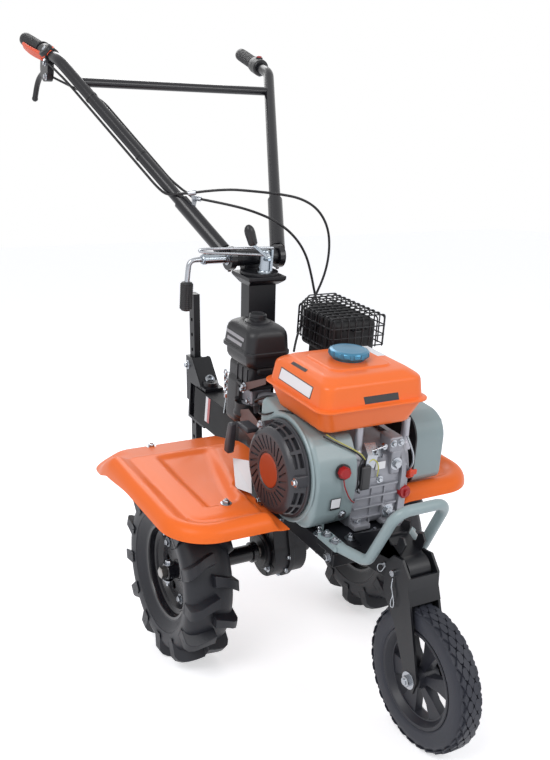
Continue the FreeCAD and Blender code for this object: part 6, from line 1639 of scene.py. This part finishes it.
for link in range(CHAIN_LINKS):
    bpy.ops.object.select_all(action="DESELECT")
    bpy.ops.mesh.primitive_torus_add(major_radius=0.0048, minor_radius=0.0018, major_segments=20,
        minor_segments=8)
    ring = bpy.context.object
    ring.scale = (1.0, 1.5, 1.0)
    ring.rotation_euler = (math.pi / 2, 0, math.radians(20 + 90 * (link % 2)))
    ring.location = CHAIN_TOP.lerp(CHAIN_FOOT, (link + 0.5) / CHAIN_LINKS)
    chain_parts.append(settle(ring))
chain_parts.append(turned([(0, 0), (0, 0.006), (0.01, 0.0065), (0.012, 0.005), (0.012, 0)],
    CHAIN_FOOT - Vector((0, 0, 0.01)), UP, 24))
chain_parts.append(rod(CHAIN_FOOT - Vector((0, 0, 0.01)), (-0.2441, -0.0325, 0.452), 0.0022, 12))
assemble(chain_parts, "lock_pin_chain", "chassis", bright_zinc)

# === Handle head ===
# A turntable on the post's plate carries the cross tube that the handlebar hinges on. A steel spool
# with a wire loop locks the turn, and a cranked rod with a chequered grip locks the height.
dress("handle_head", "head_turntable", "handle_head", satin_black, 0.0012)
chrome = finish_of("chrome", "bright_zinc", (0.34, 0.38, 0.42), 0.17, metallic=1.0, tone=(0.15, 40.0),
    gloss_spread=0.08, grain=(200.0, 0.02))
SPOOL = Vector((-0.1473, 0, 0.827))
assemble([turned([(0, 0), (0, 0.0165), (0.003, 0.0165), (0.005, 0.0155), (0.006, 0.0128), (0.046, 0.0128),
    (0.05, 0.011), (0.05, 0.007), (0.046, 0.0065), (0.046, 0)], SPOOL, UP, 40),
    rod(SPOOL + Vector((0.01, 0.012, 0.004)), SPOOL + Vector((0.0105, 0.013, 0.054)), 0.0034, 16, 0.0006)],
    "swivel_clamp_spool", "handle_head", chrome, "swivel_clamp")
wire_form([(-0.143, 0.018, 0.883), (-0.15, -0.03, 0.883), (-0.162, -0.11, 0.8822), (-0.169, -0.142, 0.8812),
    (-0.174, -0.1525, 0.8785), (-0.171, -0.15, 0.875), (-0.163, -0.135, 0.8738), (-0.15, -0.08, 0.8722),
    (-0.133, -0.016, 0.8704), (-0.13, 0.002, 0.869)], 0.003, "swivel_clamp_loop", "handle_head")
LEVER_FOOT = Vector((-0.124, -0.006, 0.866))
LEVER_BEND = Vector((-0.1425, -0.034, 0.8925))
LEVER_TIP = Vector((-0.144, -0.05, 0.937))
assemble([rod(LEVER_FOOT, LEVER_BEND + (LEVER_BEND - LEVER_FOOT) * 0.12, 0.0036, 20, 0.001),
    hex_bolt(LEVER_FOOT + Vector((0, 0.002, -0.004)), (0.2, -0.3, 1), 0.012, 0.006)], "clamp_lever_rod",
    "handle_head", chrome, "clamp_lever")
knob_black = finish_of("knob_black", "black_plastic", (0.01, 0.01, 0.012), 0.34, specular=0.45,
    tone=(0.2, 40.0), gloss_spread=0.12, grain=(600.0, 0.1))
assemble([turned([(0, 0), (0, 0.0092), (0.002, 0.0104), (0.01, 0.011), (0.028, 0.012), (0.036, 0.0112),
    (0.042, 0.0084), (0.046, 0.0044), (0.0475, 0)], LEVER_BEND, LEVER_TIP - LEVER_BEND, 36)],
    "clamp_lever_knob", "handle_head", knob_black, angle=60.0)
PIVOT = Vector((-0.196, 0, 0.852))
assemble([turned([(-0.073, 0), (-0.073, 0.0105), (-0.074, 0.0112), (-0.124, 0.0112), (-0.1245, 0.0125),
    (-0.1295, 0.0125), (-0.13, 0.0112), (-0.1325, 0.0112), (-0.1345, 0.0095), (-0.1345, 0)], PIVOT, LEFT,
    40)], "height_clamp_sleeve", "handle_head", chrome, "height_clamp")
wire_form([(-0.196, -0.133, 0.852), (-0.196, -0.148, 0.852), (-0.196, -0.157, 0.851), (-0.196, -0.164, 0.844),
    (-0.196, -0.1655, 0.834), (-0.196, -0.1665, 0.818), (-0.196, -0.168, 0.796)], 0.006, "height_clamp_rod",
    "handle_head")


def chequered(name, foot, top, radius, around, along, body):
    """A round rubber grip with a lattice of fine raised lines, closed by a dome at its foot."""
    length = (top - foot).length
    rows = [(0.0, 0.0), (0.0, radius * 0.45), (0.0015, radius * 0.78), (0.0045, radius * 0.96)]
    for step in range(along * 3 + 1):
        rows.append((0.0065 + (length - 0.0115) * step / (along * 3),
            radius + (0.0009 if step % 3 == 0 else 0.0)))
    rows += [(length - 0.003, radius * 0.96), (length - 0.001, radius * 0.86), (length, radius * 0.72),
        (length, 0.0)]
    grip = turned(rows, foot, top - foot, around * 3)
    line = (top - foot).normalized()
    side = line.orthogonal().normalized()
    across = line.cross(side)
    for vertex in grip.data.vertices:
        away = vertex.co - foot
        height = away.dot(line)
        turn = math.atan2(away.dot(across), away.dot(side)) % math.tau
        if 0.006 < height < length - 0.0045 and round(turn / math.tau * around * 3) % 3 == 0:
            middle = foot + line * height
            vertex.co = middle + (vertex.co - middle) * (1 + 0.0008 / radius)
    smooth(grip, 20.0)
    return park(grip, name, body, grip_rubber)


grip_rubber = finish_of("grip_rubber", "black_rubber", (0.01, 0.01, 0.012), 0.48, specular=0.4,
    tone=(0.3, 30.0), gloss_spread=0.1, grain=(700.0, 0.25))
chequered("height_clamp_grip", Vector((-0.196, -0.168, 0.736)), Vector((-0.196, -0.168, 0.803)), 0.0134, 14,
    12, "handle_head")

# === Handlebar ===
# Two bent steel tubes joined by a cross bar, sleeved into arms whose round ends clamp to the head's
# cross tube. Painted gloss black. A bright plate on the right arm holds the cables' ferrules.
dress("handle_arm_right", "arm_socket_right", "handlebar", gloss_black, 0.001)
dress("handle_arm_left", "arm_socket_left", "handlebar", gloss_black, 0.001)
dress("handlebars", "handle_tubes", "handlebar", gloss_black, 0.001)
dress("cable_stop", "cable_stop_plate", "handlebar", bright_zinc, 0.0006)


ARM_SIDE = 0.063


def bar_at(share, hand):
    """A point on one handlebar tube, from its disc (0) to its bend (1)."""
    start = PIVOT + Vector((0, hand * ARM_SIDE, 0))
    bend = PIVOT + Vector((-0.508, hand * 0.295, 0.395))
    return start.lerp(bend, share)


arm_bolts = []
for hand in (-1, 1):
    arm_bolts.append(hex_bolt(PIVOT + Vector((0, hand * 0.0705, 0)), (0, hand, 0), 0.017, 0.008))
    lug = plate_form([(-0.216, 0.842), (-0.176, 0.842), (-0.187, 0.83), (-0.195, 0.8195), (-0.205, 0.83)],
        hand * ARM_SIDE - 0.003, hand * ARM_SIDE + 0.003, 0.002)
    smooth(lug)
    park(lug, "arm_lug_right" if hand < 0 else "arm_lug_left", "handlebar", gloss_black)
assemble(arm_bolts, "arm_bolts", "handlebar", bright_zinc)
clips = []
for share in (0.5, 0.8):
    middle = bar_at(share, -1)
    line = (bar_at(1.0, -1) - bar_at(0.0, -1)).normalized()
    clips.append(rod(middle - line * 0.004, middle + line * 0.004, 0.0152, 32, 0.001))
assemble(clips, "cable_clips", "handlebar", knob_black)

# === Grips and hand controls ===
# Moulded rubber grips with a collar and a rounded end. The right one carries the throttle, a disc with
# an orange thumb lever, and the clutch lever on its bracket; the left one carries a switch housing.
GRIP_LENGTH = 0.124
TUBE_IN_GRIP = 0.12


def grip_frame(hand):
    """The grip's start and the direction along it."""
    end = PIVOT + Vector((-0.723, hand * 0.318, 0.44))
    along = (end - bar_at(1.0, hand)).normalized()
    return end - along * TUBE_IN_GRIP, along


def rubber_grip(name, node, hand):
    """One ribbed grip on its side (hand) of the handlebar, with a collar and a rounded end."""
    start, along = grip_frame(hand)
    profile = [(0.0, 0.0145), (0.0, 0.0205), (0.0012, 0.0215), (0.0045, 0.0215), (0.0058, 0.02),
        (0.0068, 0.0172)]
    ribs = 26
    for rib in range(ribs):
        base = 0.009 + rib * 0.0038
        profile += [(base, 0.0172), (base + 0.0009, 0.0178), (base + 0.0024, 0.0178), (base + 0.0033, 0.0172)]
    profile += [(0.1115, 0.0176), (0.118, 0.0172), (0.1215, 0.015), (0.1235, 0.0105), (GRIP_LENGTH, 0.0)]
    assemble([turned(profile, start, along, 40)], name, "handlebar", grip_rubber, node, angle=40.0)


rubber_grip("rubber_grip_right", "grip_right", -1)
rubber_grip("rubber_grip_left", "grip_left", 1)

grip_start, grip_along = grip_frame(-1)
control_foot = grip_start - grip_along * 0.058
control_middle = grip_start - grip_along * 0.042
disc_out = Vector((0, -0.73, 0.68)).normalized()
throttle_parts = [turned([(0, 0.0142), (0, 0.0175), (0.002, 0.019), (0.054, 0.019), (0.0565, 0.0175),
    (0.0565, 0.0142)], control_foot, grip_along, 40), turned([(-0.004, 0.0), (-0.004, 0.018), (0.001, 0.0205),
    (0.006, 0.0205), (0.0065, 0.0185), (0.0105, 0.0185), (0.011, 0.0192), (0.018, 0.0188), (0.0202, 0.0175),
    (0.021, 0.015), (0.021, 0.0)], control_middle, disc_out, 48),
    rod((-0.769, -0.3124, 1.247), control_middle + disc_out * 0.006, 0.005, 20, 0.001)]
assemble(throttle_parts, "throttle_body", "handlebar", knob_black)
lever_orange = finish_of("lever_orange", "orange_paint", (0.8, 0.085, 0.02), 0.38, specular=0.4,
    tone=(0.08, 40.0), gloss_spread=0.1, grain=(500.0, 0.08))
paddle_down = Vector((0, -0.9, -0.44)).normalized()
paddle_across = grip_along.cross(paddle_down).normalized()
paddle_rows = []
for station in range(9):
    share = station / 8
    half = 0.0128 - 0.003 * share + 0.0016 * math.sin(share * math.pi)
    lift = 0.015 + 0.004 * math.sin(share * math.pi * 0.9)
    for side, depth in ((-1, 0.0), (1, 0.0), (0.8, 0.007), (-0.8, 0.007)):
        paddle_rows.append(control_middle + grip_along * (0.01 + 0.118 * share) + paddle_across
            * (side * half) + paddle_down * (lift + depth))
paddle = round_edges(face_outwards(skinned(paddle_rows, 4)), 0.0022, 3, 40.0)
throttle_ring = turned([(0.0062, 0.0), (0.0062, 0.02), (0.0108, 0.02), (0.0108, 0.0)], control_middle,
    disc_out, 48)
assemble([throttle_ring, paddle], "thumb_lever", "handlebar", lever_orange, angle=45.0)
assemble([turned([(0, 0), (0, 0.0062), (0.0022, 0.0058), (0.0032, 0.0035), (0.0034, 0)],
    control_middle + disc_out * 0.0208, disc_out, 28), hex_bolt(control_foot + grip_along * 0.01
    + Vector((0, -0.015, -0.011)), (0, -0.8, -0.6), 0.006, 0.004)], "throttle_screw", "handlebar",
    bright_zinc)

clutch_bolt = grip_start - grip_along * 0.017 + Vector((-0.006, 0, -0.054))
bracket_middle = clutch_bolt.y
bracket_top = clutch_bolt.z + 0.048
assemble([plate_form([(clutch_bolt.x - 0.012, bracket_top + 0.004),
    (clutch_bolt.x + 0.046, bracket_top - 0.004), (clutch_bolt.x + 0.044, clutch_bolt.z + 0.004),
    (clutch_bolt.x + 0.034, clutch_bolt.z - 0.015), (clutch_bolt.x + 0.006, clutch_bolt.z - 0.017),
    (clutch_bolt.x - 0.016, clutch_bolt.z - 0.002), (clutch_bolt.x - 0.02, clutch_bolt.z + 0.016)],
    bracket_middle - 0.0085, bracket_middle + 0.0085, 0.006, 0.002, 3),
    rod((-0.7732, -0.3033, 1.2107), clutch_bolt + Vector((0.004, 0, 0.004)), 0.006, 20, 0.001)],
    "clutch_bracket", "handlebar", knob_black)
lever_points = [(0.01, 0, -0.004), (-0.014, -0.0005, 0.002), (-0.034, -0.0015, -0.002),
    (-0.056, -0.003, -0.017), (-0.07, -0.0045, -0.038), (-0.078, -0.006, -0.062)]
lever_line = [clutch_bolt + Vector(place) for place in lever_points]
lever_bar = round_wire("clutch_lever", [(lever_line, False)], 0.007, resolution=8, sides=5)
lever_end = turned([(-0.007, 0), (-0.006, 0.0045), (-0.003, 0.0072), (0.001, 0.008), (0.005, 0.007),
    (0.008, 0.0035), (0.0085, 0)], clutch_bolt + Vector((-0.0785, -0.006, -0.063)), (-0.3, -0.05, -0.9), 28)
assemble([lever_end, lever_bar], "clutch_lever", "handlebar", knob_black, angle=50.0)
assemble([hex_bolt(clutch_bolt + Vector((0.03, -0.0085, -0.004)), RIGHT, 0.01, 0.005),
    hex_bolt(clutch_bolt + Vector((0.026, -0.0085, 0.028)), RIGHT, 0.009, 0.005)], "clutch_bolts",
    "handlebar", bright_zinc)

switch_start, switch_along = grip_frame(1)
switch_foot = switch_start - switch_along * 0.046
assemble([turned([(0.0, 0.0142), (0.0, 0.0195), (0.0025, 0.0222), (0.006, 0.023), (0.0215, 0.023),
    (0.0225, 0.0222), (0.0235, 0.023), (0.04, 0.023), (0.0435, 0.0222), (0.0455, 0.0195), (0.0455, 0.0142)],
    switch_foot, switch_along, 48), turned([(0.018, 0), (0.018, 0.0105), (0.0245, 0.01), (0.0245, 0)],
    switch_foot + switch_along * 0.023, (0.1, 0.0, 1.0), 32)], "switch_housing", "handlebar", knob_black)
assemble([turned([(0.022, 0), (0.022, 0.0072), (0.0268, 0.007), (0.028, 0.0055), (0.0283, 0)],
    switch_foot + switch_along * 0.023, (0.1, 0.0, 1.0), 28)], "switch_button", "handlebar", plug_red,
    angle=50.0)
assemble([hex_bolt(switch_foot + switch_along * share + Vector((0, 0, -0.0225)), (0, 0, -1), 0.006, 0.002,
    washer=False) for share in (0.01, 0.036)], "switch_screws", "handlebar", bright_zinc)


size = {"cad_box": [list(corner) for corner in cad_box],
    "visual_box": [list(corner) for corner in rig.bounds()]}
with open("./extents.json", "w") as size_file:
    json.dump(size, size_file)
